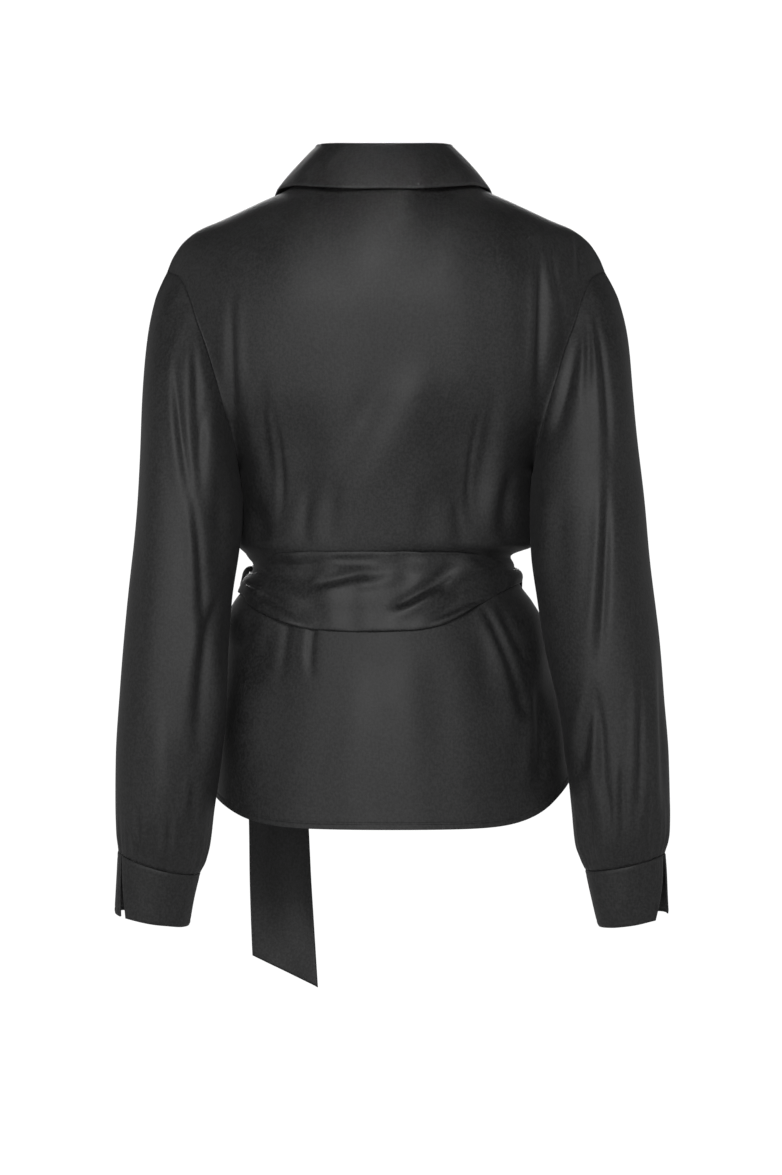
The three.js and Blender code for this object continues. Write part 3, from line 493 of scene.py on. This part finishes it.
BACK_CREASES = table(
    CREASE,
    (78, -190, 84, -268, 88, -345, 34, 8, 0),  # hollow below the left shoulder blade
    (112, -165, 118, -238, 102, -300, 7, 3.5, 1.5),
    (110, -200, 104, -255, 101, -340, 3, 2.4, 0.5),  # left dart
    (-62, -185, -76, -268, -82, -345, 36, 9, 0),  # hollow below the right shoulder blade
    (-98, -185, -100, -245, -80, -328, 7, 3, -1.5),
    (-93, -200, -85, -255, -79, -340, 3, 2.2, 0.5),  # right dart
    (-50, -160, -8, -232, 34, -318, 24, -5.5, 0),  # drape that runs down to the left
    (-2, -180, 26, -232, 46, -300, 15, 3, 0),
    (144, -88, 147, -165, 142, -240, 4.6, 5.4, -2.5),  # beside the left armhole
    (134, -285, 125, -318, 116, -346, 9, 5, 0),
    (-146, -46, -147, -130, -144, -218, 4.4, 5.6, 3),  # sharp creases by the right armhole
    (-155, -44, -163, -92, -169, -140, 4, 3.6, 1.6),
    (-182, -34, -186, -62, -187, -98, 3.6, 2.6, 1.2),
    (-163, -75, -161, -125, -154, -195, 7, -2.5, 0),
    (-124, -262, -117, -302, -112, -342, 7, 5, 3),  # edge of the right blousing
    (46, -270, 52, -312, 54, -352, 8, 1.8, 0.6),  # puckers over the sash
    (74, -280, 78, -318, 76, -352, 6, 1.8, 0.6),
    (-38, -280, -39, -318, -44, -352, 11, 1.4, 0.4),
    (-70, -290, -70, -322, -74, -352, 6, 1.6, 0.6),
    (88, -386, 96, -436, 101, -484, 4.5, 1.8, 0),  # pleats below the sash, left
    (58, -386, 71, -432, 68, -476, 3.6, 3.4, 0.6),
    (118, -408, 134, -425, 148, -452, 8, 4, 2),
    (104, -415, 122, -450, 138, -500, 12, 2.5, 1),
    (-88, -416, -95, -458, -108, -520, 11, 2.2, 0),  # pleats below the sash, right
    (-86, -392, -114, -444, -133, -508, 4.4, 4.5, 1.5),
    (-124, -478, -131, -495, -145, -514, 7, 3, 1.5),
    (-102, -392, -123, -430, -144, -470, 5, 3.6, 1),
    (-142, -470, -149, -520, -142, -592, 6, 4, 2.5),  # flutes by the right side seam
    (-160, -432, -166, -505, -162, -588, 7, -3.2, 0),
    (-42, -432, -51, -489, -57, -560, 22, 1.2, 0),  # slow fullness of the skirt
    (39, -442, 45, -508, 49, -580, 20, 1, 0),
    (134, -436, 139, -505, 138, -596, 20, -5, 0),
)
HEM_DEPTH, HEM_STEP, HEM_STITCH = 0.010, 0.002, 0.0016  # shares of the panel's length
HEM_PROUD, HEM_PULL = 0.5, 0.8
SEAM_FADE = 0.06  # the cloth is even at the shoulder seams, and its creases fade in over this share


def hem_relief(down):
    """The turned-up hem stands a little proud, and its row of stitches pulls in above it."""
    pulled = np.exp(-(((down - 1 + HEM_DEPTH) / HEM_STITCH) ** 2))
    return HEM_PROUD * ease(down, 1 - HEM_DEPTH - HEM_STEP, 1 - HEM_DEPTH) - HEM_PULL * pulled


def back_surface(across, down):
    angle = blend(-SIDE_SEAM, SIDE_SEAM, across)
    places = body_surface(1, angle, down)
    normals = outward(places)
    settle = ease(down, 0, SEAM_FADE) * ease(0.5 - np.abs(across - 0.5), 0, 0.03)
    uneven = unevenness(places, seed=4, amount=0.7, size=90)
    relief = (crease_relief(places, BACK_CREASES) + uneven) * settle
    return places + normals * (relief + hem_relief(down))[..., None], normals


back = lay_cloth("back_panel", 150, 220, back_surface, flat=(0.52, 0.68), hem=HEM_ROWS)
back.data.materials.append(BODY_SATIN)
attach(back, "root")
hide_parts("back")


# ---------------------------------------------------------------- fronts
# Two panels that cross at the waist, the wearer's right one on top. Each runs from its side seam to
# a free edge that comes down from the neck, and both are held by the sash.
WRAP_EDGE = table(
    "height angle",
    (16, -18.7), (-20, -16.5), (-60, -14), (-110, -8.5), (-170, 0), (-230, 14), (-290, 33),
    (-345, 56), (-370, 64), (-430, 62), (-520, 58), (-609, 54),
)
WRAP_INSET, INSET_TURN = 5.6, 20  # how far inside the left front lies, and the angle in which it gets there
EDGE_STITCHES, EDGE_STITCH, EDGE_PULL = 0.965, 0.006, 0.5  # the row beside the right front's free edge
FRONT_CREASES = table(
    CREASE,
    (90, -215, 112, -280, 112, -345, 12, 4, 2),
    (-84, -235, -60, -290, -30, -345, 12, 4, 2),
    (-40, -190, 10, -270, 60, -345, 18, -4, 0),
    (6, -190, 50, -270, 96, -345, 12, 4, 2),
    (-110, -150, -104, -200, -84, -260, 10, 3, 1.5),
    (74, -392, 68, -478, 60, -570, 10, 4, 2),
    (-70, -396, -78, -480, -84, -570, 9, 4, 2),
    (8, -396, 4, -490, -4, -585, 13, 3.5, 1.5),
    (-112, -390, -122, -440, -130, -510, 6, 3.5, 2),
    (40, -390, 38, -440, 33, -505, 6, 2.6, 1.2),
    (-30, -390, -34, -445, -37, -510, 6, 2.6, 1.2),
)


def front_surface(side):
    """Surface of the wearer's right (-1) or left (1) front. The left one lies inside the right one."""

    def surface(across, down):
        share = (1 - np.cos(np.pi * np.minimum(1, down / YOKE_PART))) / 2
        height = np.where(
            down <= YOKE_PART,
            blend(NECK_POINT, UNDERARM, share),
            blend(UNDERARM, HEM, (down - YOKE_PART) / (1 - YOKE_PART)),
        )
        edge = read(WRAP_EDGE, "height", height, "angle")
        angle = -side * blend(-SIDE_SEAM, edge, across)
        places = body_surface(-1, angle, down)
        normals = outward(places) * side
        settle = ease(down, 0, SEAM_FADE) * ease(90 - np.abs(angle), 0, 6)
        uneven = unevenness(places, seed=9, amount=0.7, size=90)
        relief = (crease_relief(places, FRONT_CREASES) + uneven) * settle
        relief = relief + hem_relief(down)
        if side < 0:
            relief = relief - EDGE_PULL * np.exp(-(((across - EDGE_STITCHES) / EDGE_STITCH) ** 2))
        else:
            from_seam = ease(90 - np.abs(angle), 0, INSET_TURN)
            relief = relief - WRAP_INSET * from_seam * ease(down, 0, YOKE_PART / 2)
        return places + normals * relief[..., None], normals

    return surface


for side, name, node in ((-1, "front_panel_right", "front_right"), (1, "front_panel_left", "front_left")):
    front = lay_cloth(name, 100, 210, front_surface(side), flat=(0.38, 0.66), hem=HEM_ROWS)
    front.data.materials.append(BODY_SATIN)
    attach(front, "root")
    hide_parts(node)


# ---------------------------------------------------------------- sleeves
# Each sleeve is cut full in one piece. It hangs in long vertical folds at the wearer's side, and its
# lower end is drawn up in many small gathers that puff out over the cuff.
SLEEVE = "outer_z outer_x inner_x inner_z middle half_depth"
SLEEVE_LEFT = table(
    SLEEVE,
    (-75, 212, 142, -270, 6, 56),
    (-104, 223.5, 140.8, -282, 13, 60),
    (-145, 230.5, 138.6, -299, 20, 62),
    (-195, 234.5, 138.6, -320, 27, 62),
    (-255, 237.5, 141.5, -349, 34, 60),
    (-330, 242, 147.5, -393, 42, 58),
    (-405, 248, 150.5, -440, 50, 54),
    (-480, 253.5, 152.5, -495, 54, 51),
    (-545, 257.5, 157.5, -552, 55, 48),
    (-590, 258, 164, -596, 52, 46),
    (-612, 257.5, 168, -628, 47, 44),
    (-624, 257, 172, -643, 45, 38),
    (-632, 256.5, 177, -653, 43, 34),
)
SLEEVE_RIGHT = table(
    SLEEVE,
    (-75, 212, 142, -270, 6, 56),
    (-104, 225.5, 139.6, -282, 13, 60),
    (-145, 233.5, 138.6, -299, 20, 62),
    (-195, 238, 138.6, -320, 27, 62),
    (-255, 242.5, 140, -349, 34, 60),
    (-330, 250, 145.5, -393, 42, 58),
    (-405, 258.5, 152, -440, 48, 56),
    (-480, 266.5, 164, -495, 51, 54),
    (-545, 271.5, 172.5, -552, 51, 52),
    (-590, 272, 178, -596, 49, 49),
    (-612, 271, 181.5, -628, 47, 44),
    (-624, 269.5, 186, -641, 45, 38),
    (-634, 267.5, 190.5, -651, 43, 34),
)
LEFT_SLEEVE_CREASES = table(
    CREASE,
    (203, -150, 194, -236, 180, -318, 4.5, 3, 1.5),  # fine folds from the seam down the arm
    (185, -122, 179, -205, 178, -278, 5, 2.6, 1.2),
    (167, -192, 175, -254, 171, -318, 5, 2.6, -1.2),
    (185, -286, 174, -370, 174, -470, 4.5, 4.2, 2),
    (153, -380, 171, -448, 178, -570, 6, 5.5, 3),  # deep fold behind the elbow
    (163, -422, 159, -497, 172, -578, 8, -3.5, 0),
    (213, -480, 211, -556, 204, -622, 14, -4, 0),
    (232, -200, 235, -380, 237, -570, 9, 1.6, 0),
    (160, -262, 156, -330, 158, -392, 9, 3, 0),
    (236, -588, 234, -614, 231, -668, 4, 2.2, 1.2),
    (221, -594, 223, -618, 226, -668, 4, 2, 1),
    (205, -602, 204, -622, 205, -668, 4, 1.8, 1),
    (190, -596, 192, -618, 196, -668, 4.5, 2.4, 1.2),
    (180, -560, 182, -595, 187, -668, 5, 2.6, 1),
)
RIGHT_SLEEVE_CREASES = table(
    CREASE,
    (-192, -96, -209, -190, -208, -300, 4.2, 3.6, 2),  # one long fold from the shoulder to the wrist
    (-209, -258, -206, -368, -197, -486, 4.8, 4.6, 2.5),
    (-189, -98, -193, -150, -188, -222, 3.6, 2.4, 1),
    (-187, -118, -168, -200, -151, -264, 8, 4.5, 2),
    (-165, -270, -160, -345, -155, -410, 12, 3.5, 0),
    (-197, -460, -189, -521, -180, -572, 6, 5, 2.5),  # where it parts in two
    (-196, -468, -203, -530, -206, -622, 5, 4, 2),
    (-239, -440, -240, -535, -238, -612, 3.6, 3, 1.6),
    (-260, -420, -264, -530, -265, -622, 5, 3.5, 1.5),
    (-222, -540, -223, -590, -225, -668, 3.8, 2.6, 1.2),
    (-208, -565, -211, -600, -216, -668, 4, 2.2, 1),
    (-190, -560, -191, -595, -194, -668, 5, 2.6, 1.2),
    (-250, -556, -249, -600, -246, -668, 3.8, 2.2, 1.2),
)
HIDDEN_SLEEVE_CREASES = table(  # the front of a left sleeve, mirrored for the right one
    CREASE,
    (205, -110, 200, -220, 190, -330, 8, 4, 2),
    (175, -150, 176, -250, 182, -330, 7, 3, 1.5),
    (222, -300, 220, -400, 212, -500, 9, 4, 2),
    (180, -420, 184, -500, 190, -590, 8, 4, 2),
    (232, -480, 230, -540, 228, -610, 6, 3, 1.5),
    (205, -520, 204, -570, 206, -620, 5, 2.5, 1),
)


def armhole_ring(around):
    """The armhole of the left side. around runs from the shoulder over the back to the underarm at 180
    and comes up again in front."""
    share = (1 - np.cos(np.radians(around))) / 2
    back_y, front_y = read(ARMHOLE, "share", share, "back"), read(ARMHOLE, "share", share, "front")
    x, z = read(ARMHOLE, "share", share, "reach"), blend(SHOULDER_POINT, UNDERARM, share)
    return np.stack([x, np.where(around <= 180, back_y, front_y), z], -1)


def oval(section, around):
    """A slanting oval through the sleeve's outer and inner outline. dip lowers its back."""
    cosine, sine = np.cos(np.radians(around)), np.sin(np.radians(around))
    outer_x, inner_x = section["outer_x"], section["inner_x"]
    outer_z, inner_z = section["outer_z"], section["inner_z"]
    return np.stack(
        [
            (outer_x + inner_x) / 2 + (outer_x - inner_x) / 2 * cosine,
            section["middle"] + section["half_depth"] * sine,
            (outer_z + inner_z) / 2 + (outer_z - inner_z) / 2 * cosine - section["dip"] * sine,
        ],
        -1,
    )


def gathers(around, seed, count):
    """Uneven small pleats round an edge, as heights from 0 to 1."""
    draw = np.random.RandomState(seed)
    step = 360 / count
    total = np.zeros(np.shape(around))
    for k in range(count):
        centre = (k + draw.uniform(-0.28, 0.28)) * step
        turn = np.abs((around - centre + 180) % 360 - 180)
        total += draw.uniform(0.55, 1) * np.exp(-((turn / (step * draw.uniform(0.26, 0.4))) ** 2))
    return total


SEAM_PART = 0.3  # share of a sleeve in which the armhole's outline turns into the oval
LOW_GATHERS, LOW_SWELL, LOW_SINK = 34, 2.6, 1.6  # the gathers over the cuff
HIGH_GATHERS, HIGH_SWELL, HIGH_SINK, HIGH_PART = 22, 0.7, 0.2, 0.22  # those below the shoulder seam


def sleeve_surface(rows, creases, side, dip, seed):
    """Surface of a sleeve. side is 1 for the wearer's left, and -1 mirrors it for the right."""

    def surface(across, share):
        around = across * 360
        outer_z = blend(rows["outer_z"][0], rows["outer_z"][-1], share)
        section = {name: read(rows, "outer_z", outer_z, name) for name in SLEEVE.split()[1:]}
        section["outer_z"] = outer_z
        section["dip"] = dip * ease(share, 0.8, 1)
        first = {name: rows[name][0] for name in SLEEVE.split()}
        first["dip"] = 0
        places = oval(section, around)
        near_seam = np.maximum(0, 1 - share / SEAM_PART) ** 2
        places += (armhole_ring(around) - oval(first, around)) * near_seam[..., None]
        places[..., 0] *= side
        normals = outward(places, ring=True) * -side
        behind = ease(normals[..., 1], -0.15, 0.25)
        seen = crease_relief(places, creases)
        hidden = crease_relief(places * [side, 1, 1], HIDDEN_SLEEVE_CREASES)
        settle = ease(share, 0, 0.05) * ease(1 - share, 0, 0.03)
        relief = seen * behind + hidden * (1 - behind) + unevenness(places, seed, amount=0.8, size=70)
        # Over the cuff the gathers grow towards the seam, and in the seam itself they are pressed flat.
        low = LOW_SWELL * gathers(around, seed, LOW_GATHERS) - LOW_SINK
        pressed = 0.3 + 0.7 * ease(1 - share, 0, 0.015)
        drawn = 0.8 * ease(share, 0.87, 0.985) * pressed * (0.35 + 0.65 * ease(share, 0.9, 1))
        relief = relief * settle + drawn * low
        # Below the shoulder seam they fade downwards, and towards the underarm.
        fading = ease(HIGH_PART - share, 0, 0.2)
        high = gathers(around, seed + 1, HIGH_GATHERS) * ease(share, 0, 0.02) * fading
        outer_half = ease(np.cos(np.radians(around)), -0.4, 0.6)
        relief += (HIGH_SWELL * high - HIGH_SINK * fading) * outer_half
        return places + normals * relief[..., None], normals

    return surface


for side, name, node, rows, creases, dip, seed in (
    (1, "sleeve_wearers_left", "sleeve_left", SLEEVE_LEFT, LEFT_SLEEVE_CREASES, 7, 21),
    (-1, "sleeve_wearers_right", "sleeve_right", SLEEVE_RIGHT, RIGHT_SLEEVE_CREASES, 4, 33),
):
    surface = sleeve_surface(rows, creases, side, dip, seed)
    sleeve = lay_cloth(name, 190, 200, surface, flat=(0.36, 0.6), ring=True)
    sleeve.data.materials.append(BODY_SATIN)
    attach(sleeve, "root")
    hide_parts(node)


# ---------------------------------------------------------------- cuffs
# A cuff is a straight double band sewn to the gathered sleeve. It is open in a slit on its outer
# side, where one end of the band stands a little away from the other.
CUFF = "at outer_x outer_z inner_x inner_z middle half_depth dip slit_from slit_to"
CUFF_LEFT = table(
    CUFF,
    (0, 256.5, -632.7, 177, -653.7, 43, 34, 7, 24, 27),
    (0.5, 259, -665, 183.5, -680, 38, 32, 4, 29, 36),
    (1, 261, -694, 188, -706, 33, 31, 3, 34, 47),
)
CUFF_RIGHT = table(
    CUFF,
    (0, 267.5, -634.7, 190.5, -651.7, 43, 34, 4, 12, 18),
    (0.5, 270, -668, 197, -680, 38, 32, 4, 6, 34),
    (1, 272, -695, 203.5, -707, 33, 31, 3, 2, 54),
)


CUFF_RATIO = 3.4  # length of a cuff against its depth, so that its rim is even all round
CUFF_STITCHES, CUFF_STITCH, CUFF_PULL = 0.1, 0.02, 0.2
CUFF_RIM, CUFF_RIM_SINK = 0.05, 0.7


def cuff_surface(rows, side):
    """Surface of a cuff, from one side of its slit round to the other."""

    def surface(across, down):
        section = {name: read(rows, "at", down, name) for name in CUFF.split()[1:]}
        around = blend(section["slit_to"], section["slit_from"] + 360, across)
        places = oval(section, around)
        places[..., 0] *= side
        normals = outward(places) * -side
        rim = np.minimum(np.minimum(across, 1 - across) * CUFF_RATIO, np.minimum(down, 1 - down))
        relief = -CUFF_PULL * np.exp(-(((rim - CUFF_STITCHES) / CUFF_STITCH) ** 2))
        relief -= CUFF_RIM_SINK * ease(CUFF_RIM - rim, 0, CUFF_RIM)
        relief += unevenness(places, seed=5, amount=0.35, size=30)
        return places + normals * relief[..., None], normals

    return surface


for side, name, node, above, rows in (
    (1, "cuff_wearers_left", "cuff_left", "sleeve_wearers_left", CUFF_LEFT),
    (-1, "cuff_wearers_right", "cuff_right", "sleeve_wearers_right", CUFF_RIGHT),
):
    cuff = lay_cloth(name, 130, 44, cuff_surface(rows, side), flat=(0.22, 0.055), thickness=DOUBLE)
    cuff.data.materials.append(BODY_SATIN)
    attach(cuff, "root")
    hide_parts(node)


# ---------------------------------------------------------------- collar
# A turned-down collar in double satin: a stand that rises from the neckline, a soft roll, and a fall
# that lies on the shoulders and runs down to a point on each front.
COLLAR = table(
    "at neck share fold_x fold_y fold_z edge_x edge_y edge_z",
    (0, 0, 0, 0, 54, 42.5, 0, 82.5, -3.8),
    (1, 6.5, 0, 24, 50, 43, 34, 80, -3),
    (2, 12.5, 0, 45, 39, 44.5, 67, 61, 0.5),
    (3, 16.8, 0, 59, 22, 46, 89, 37, 4),
    (4, 18.7, 0, 64, 1, 47, 101, 8, 4.5),
    (5, 18.7, 0.03, 62, -32, 39, 108, -24, -6),
    (6, 18.7, 0.1, 57, -60, 16, 109, -52, -32),
    (7, 18.7, 0.19, 52, -84, -18, 108, -70, -60),
    (8, 18.7, 0.29, 46, -101, -53, 104, -88, -92),
)
COLLAR_SHIFT, COLLAR_LIFT, ROLL = 1.9, 1.0, 2.6
STAND_PART, ROLL_PART = 0.42, 0.1  # shares of its rows, and the rest is the fall
FALL_SWELL, COLLAR_SINK = 2.2, 0.7
NECK_ANGLE = math.degrees(math.asin(NECK_REACH / SHOULDER_REACH))


def collar_surface(across, down):
    """The collar from its right end to its left one, and from the seam over the fold to the edge."""
    signed = blend(-8, 8, across)
    side, at = np.where(signed < 0, -1, 1), np.abs(signed)
    share = read(COLLAR, "at", at, "share")
    on_front = share > 0
    height = blend(NECK_POINT, UNDERARM, share)
    front_angle = -read(WRAP_EDGE, "height", height, "angle")
    back_angle = np.minimum(NECK_ANGLE, read(COLLAR, "at", at, "neck"))
    on_back, in_front = yoke_surface(1, back_angle, share), yoke_surface(-1, front_angle, share)
    seam = np.where(on_front[..., None], in_front, on_back)
    seam[..., 2] += COLLAR_LIFT
    seam[..., 0] *= side

    def line(name):
        x = side * read(COLLAR, "at", at, name + "_x") + COLLAR_SHIFT
        return np.stack([x, read(COLLAR, "at", at, name + "_y"), read(COLLAR, "at", at, name + "_z")], -1)

    fold, edge = line("fold"), line("edge")
    up = fold - seam
    up /= np.linalg.norm(up, axis=-1, keepdims=True)
    out = edge - seam
    out -= up * np.sum(out * up, -1, keepdims=True)
    out /= np.linalg.norm(out, axis=-1, keepdims=True)
    fall_from = STAND_PART + ROLL_PART
    stand = np.clip(down / STAND_PART, 0, 1)[..., None]
    turn = np.clip((down - STAND_PART) / ROLL_PART, 0, 1)[..., None] * math.pi
    fall = np.clip((down - fall_from) / (1 - fall_from), 0, 1)[..., None]
    roll = fold - out * ROLL * np.cos(turn) - up * ROLL * (1 - np.sin(turn))
    fall_top = fold + out * ROLL - up * ROLL
    lying = fall_top + (edge - fall_top) * fall + out * FALL_SWELL * np.sin(math.pi * fall) ** 0.8
    standing = seam + (fold - out * ROLL - up * ROLL - seam) * stand
    d = down[..., None]
    places = np.where(d < STAND_PART, standing, np.where(d < fall_from, roll, lying))
    normals = outward(places)
    rim = np.minimum((1 - down) * 5, np.minimum(across, 1 - across) * 30)
    relief = -COLLAR_SINK * ease(0.12 - rim, 0, 0.12)
    loose = unevenness(places, seed=12, amount=0.6, size=80) * ease(down, 0.55, 0.8)
    return places + normals * (relief + loose)[..., None], normals


collar = lay_cloth("collar_fall_and_stand", 240, 84, collar_surface, flat=(0.44, 0.09), thickness=DOUBLE)
collar.data.materials.append(BODY_SATIN)
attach(collar, "root")
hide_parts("collar")


# ---------------------------------------------------------------- sash
# A wide band of the same satin, doubled, is wound round the waist and crushed into slanting folds.
# It narrows towards the wearer's right side, and at the left it goes into the knot.
SASH = table(
    "angle top bottom",
    (-90, -364, -377),
    (-76, -365, -379),
    (-63, -357.5, -383),
    (-47, -350, -392),
    (-37, -348, -400),
    (-28, -347.5, -410),
    (-19, -347, -419),
    (-9, -347, -423),
    (8, -347, -424),
    (25, -347, -422),
    (38, -347.5, -416),
    (47, -349, -409),
    (55, -354, -403),
    (62, -361.5, -397),
    (68, -367, -392),
    (75, -369, -389),
    (88, -368, -388),
    (104, -367, -390),
    (132, -363, -398),
    (150, -353, -412),
    (180, -349, -418),
    (220, -352, -416),
    (246, -359, -402),
    (258, -362, -386),
    (270, -364, -377),
)
SASH_PROUD, SASH_CROWN, SASH_SINK = 3.2, 2.5, 0.8  # at the edges, more in the middle, less in the rim
SASH_LEAST, SASH_SOFT = 1.7, 0.5  # height over the body that no crease goes below, and how softly it ends
BACK_SASH_CREASES = table(
    CREASE,
    (2, -404, -38, -384, -68, -353, 6, 4.5, 4),  # the longest slanting fold
    (-34, -390, -77, -381, -126, -371, 11, 4.5, 0),
    (-36, -417, -75, -397, -126, -382, 5, 4, 2.5),
    (-72, -352, -103, -358, -126, -369, 7, 3, 0),
    (72, -382, 43, -374, 10, -363, 6, 3.2, 2),
    (124, -356, 94, -367, 62, -384, 13, 4.5, 0),
    (123, -387, 95, -401, 68, -417, 6, 3.5, 2),
    (131, -379, 124, -381.5, 114, -384, 2.4, 4, 1.5),  # where it dives towards the knot
    (60, -353.5, 30, -354.5, 2, -354, 3, 1.2, 0.6),
    (30, -385, 5, -378, -22, -366, 8, -2, 0),
)
FRONT_SASH_CREASES = table(
    CREASE,
    (-120, -372, -60, -366, 0, -372, 6, 3, 2),
    (-110, -380, -50, -392, 10, -388, 7, 3, 2),
    (20, -360, 60, -372, 112, -378, 6, 3, 2),
    (-10, -405, 50, -396, 112, -386, 5, 3, 2),
    (-70, -405, -30, -410, 10, -404, 5, 2, 1),
)


def sash_surface(start, end, creases, seed):
    """Surface of a stretch of the sash between two angles round the waist."""

    def surface(across, down):
        around = blend(start, end, across)
        turned = (around + 180) % 360 - 180
        behind = np.abs(turned) <= 90
        angle = np.where(behind, turned, np.sign(turned) * 180 - turned)
        height = blend(read(SASH, "angle", around, "top"), read(SASH, "angle", around, "bottom"), down)
        on_back, in_front = skirt_surface(1, angle, height), skirt_surface(-1, angle, height)
        places = np.where(behind[..., None], on_back, in_front)
        normals = outward(places)
        relief = SASH_PROUD + SASH_CROWN * np.sin(math.pi * down) + crease_relief(places, creases, 0.3)
        relief += unevenness(places, seed, amount=0.6, size=45)
        relief -= SASH_SINK * ease(np.abs(down - 0.5), 0.47, 0.5)
        relief = SASH_LEAST + SASH_SOFT * np.logaddexp(0, (relief - SASH_LEAST) / SASH_SOFT)
        return places + normals * relief[..., None], normals

    return surface


SASH_SATIN = satin("sash_satin", (0.005, 0.005, 0.0052), (0.028, 0.028, 0.0285), 0.58, 0.05)
for name, node, start, end, creases, seed, flat in (
    ("sash_round_back", "sash_back", -89.8, 117.6, BACK_SASH_CREASES, 3, (0.38, 0.08)),
    ("sash_round_front", "sash_front", 118.4, 269.8, FRONT_SASH_CREASES, 8, (0.28, 0.075)),
):
    sash = lay_cloth(name, 190, 64, sash_surface(start, end, creases, seed), flat, thickness=SASH_DOUBLE)
    sash.data.materials.append(SASH_SATIN)
    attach(sash, "root")
    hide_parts(node)


KNOT_MIDDLE, KNOT_SIZE, KNOT_TURN = (128.9, -65.9, -377), (18, 12, 19), 45
BAND_HALF, BAND_PROUD, BAND_RIBS, RIB_HEIGHT = 0.5, 0.07, 16, 0.016  # the turn of cloth on top
UNDER_TURNS, UNDER_DEPTH = 3.6, 0.07  # the turns that come out from under it


def tie_knot():
    """The crossed ends: a rounded lump with the turns of the cloth winding slantwise round it."""
    lump = bmesh.new()
    bmesh.ops.create_uvsphere(lump, u_segments=72, v_segments=48, radius=1)
    uv = lump.loops.layers.uv.new("cloth")
    for v in lump.verts:
        direction = v.co.normalized()
        slant = direction.z * 0.8 + direction.x * 0.6
        band = math.exp(-((slant / BAND_HALF) ** 4))
        below = abs(math.cos(UNDER_TURNS * (direction.x - 0.4 * direction.z) + 0.5)) ** 3
        turns = 0.98 + BAND_PROUD * band - UNDER_DEPTH * (1 - band) * below
        turns -= RIB_HEIGHT * band * math.cos(BAND_RIBS * slant)
        v.co = Vector([direction[i] * KNOT_SIZE[i] for i in range(3)]) * turns
    for f in lump.faces:
        for loop in f.loops:
            loop[uv].uv = (loop.vert.co.x * MM, loop.vert.co.z * MM)
    turn = math.radians(KNOT_TURN)
    for v in lump.verts:
        x, y, z = v.co
        v.co = (
            (KNOT_MIDDLE[0] + x * math.cos(turn) - y * math.sin(turn)) * MM,
            (KNOT_MIDDLE[1] + x * math.sin(turn) + y * math.cos(turn)) * MM,
            (KNOT_MIDDLE[2] + z) * MM,
        )
    data = bpy.data.meshes.new("sash_tied_knot")
    lump.to_mesh(data)
    lump.free()
    for polygon in data.polygons:
        polygon.use_smooth = True
    piece = bpy.data.objects.new("sash_tied_knot", data)
    bpy.context.collection.objects.link(piece)
    return piece


knot = tie_knot()
knot.data.materials.append(SASH_SATIN)
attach(knot, "root")
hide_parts("sash_knot")


# ---------------------------------------------------------------- sash tails
# The two ends of the sash hang flat from the knot down the wearer's left front. Each is cut off at a
# slant. The longer one shows below the hem from behind.
TAIL = "z x y width turn slant"
TAIL_LONG = table(
    TAIL,
    (-396.35, 133, -62.9, 14, 45, 0),
    (-430, 135, -78, 34, 46, 0),
    (-470, 131, -92, 50, 40, 0),
    (-530, 120, -104, 60, 33, 0),
    (-600, 110.5, -111, 66, 29, 0),
    (-680, 106.3, -112, 64.5, 18, 6),
    (-766, 101, -110, 66, 8, 33),
)
TAIL_SHORT = table(
    TAIL,
    (-395.55, 122.9, -72.7, 10, 45, 0),
    (-430, 104, -99, 30, 34, 0),
    (-470, 86, -113, 44, 24, 0),
    (-520, 62, -126, 52, 18, -4),
    (-572, 48, -133, 58, 12, -26),
)


TAIL_PLEATS, TAIL_PLEAT_DEPTH, TAIL_PLEAT_END = 19, 1.6, 0.4  # where an end comes out of the knot
TAIL_SINK = 0.6  # at its long edges


def tail_surface(rows, fold, seed):
    """Surface of an end of the sash. fold is the depth of the one wide fold that runs down it."""

    def surface(across, down):
        z = blend(rows["z"][0], rows["z"][-1], down)
        value = {name: read(rows, "z", z, name) for name in TAIL.split()[1:]}
        turn = np.radians(value["turn"])
        aside = across - 0.5
        wave = fold * np.cos(math.pi * 2 * aside) * np.sin(math.pi * down)
        fading = ease(TAIL_PLEAT_END - down, 0, TAIL_PLEAT_END)
        wave += TAIL_PLEAT_DEPTH * np.cos(aside * TAIL_PLEATS) * fading
        x = value["x"] - aside * value["width"] * np.cos(turn) + wave * np.sin(turn)
        y = value["y"] - aside * value["width"] * np.sin(turn) - wave * np.cos(turn)
        places = np.stack([x, y, z - aside * value["slant"]], -1)
        normals = outward(places)
        relief = unevenness(places, seed, amount=0.5, size=60) - TAIL_SINK * ease(np.abs(aside), 0.47, 0.5)
        return places + normals * relief[..., None], normals

    return surface


for name, node, rows, fold, seed, flat, partners in (
    ("sash_end_long", "sash_tail_long", TAIL_LONG, 4, 17, (0.066, 0.375), [knot]),
    ("sash_end_short", "sash_tail_short", TAIL_SHORT, 3, 18, (0.058, 0.19), []),
):
    tail = lay_cloth(name, 40, 130, tail_surface(rows, fold, seed), flat, thickness=SASH_DOUBLE)
    tail.data.materials.append(SASH_SATIN)
    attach(tail, "root")
    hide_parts(node)
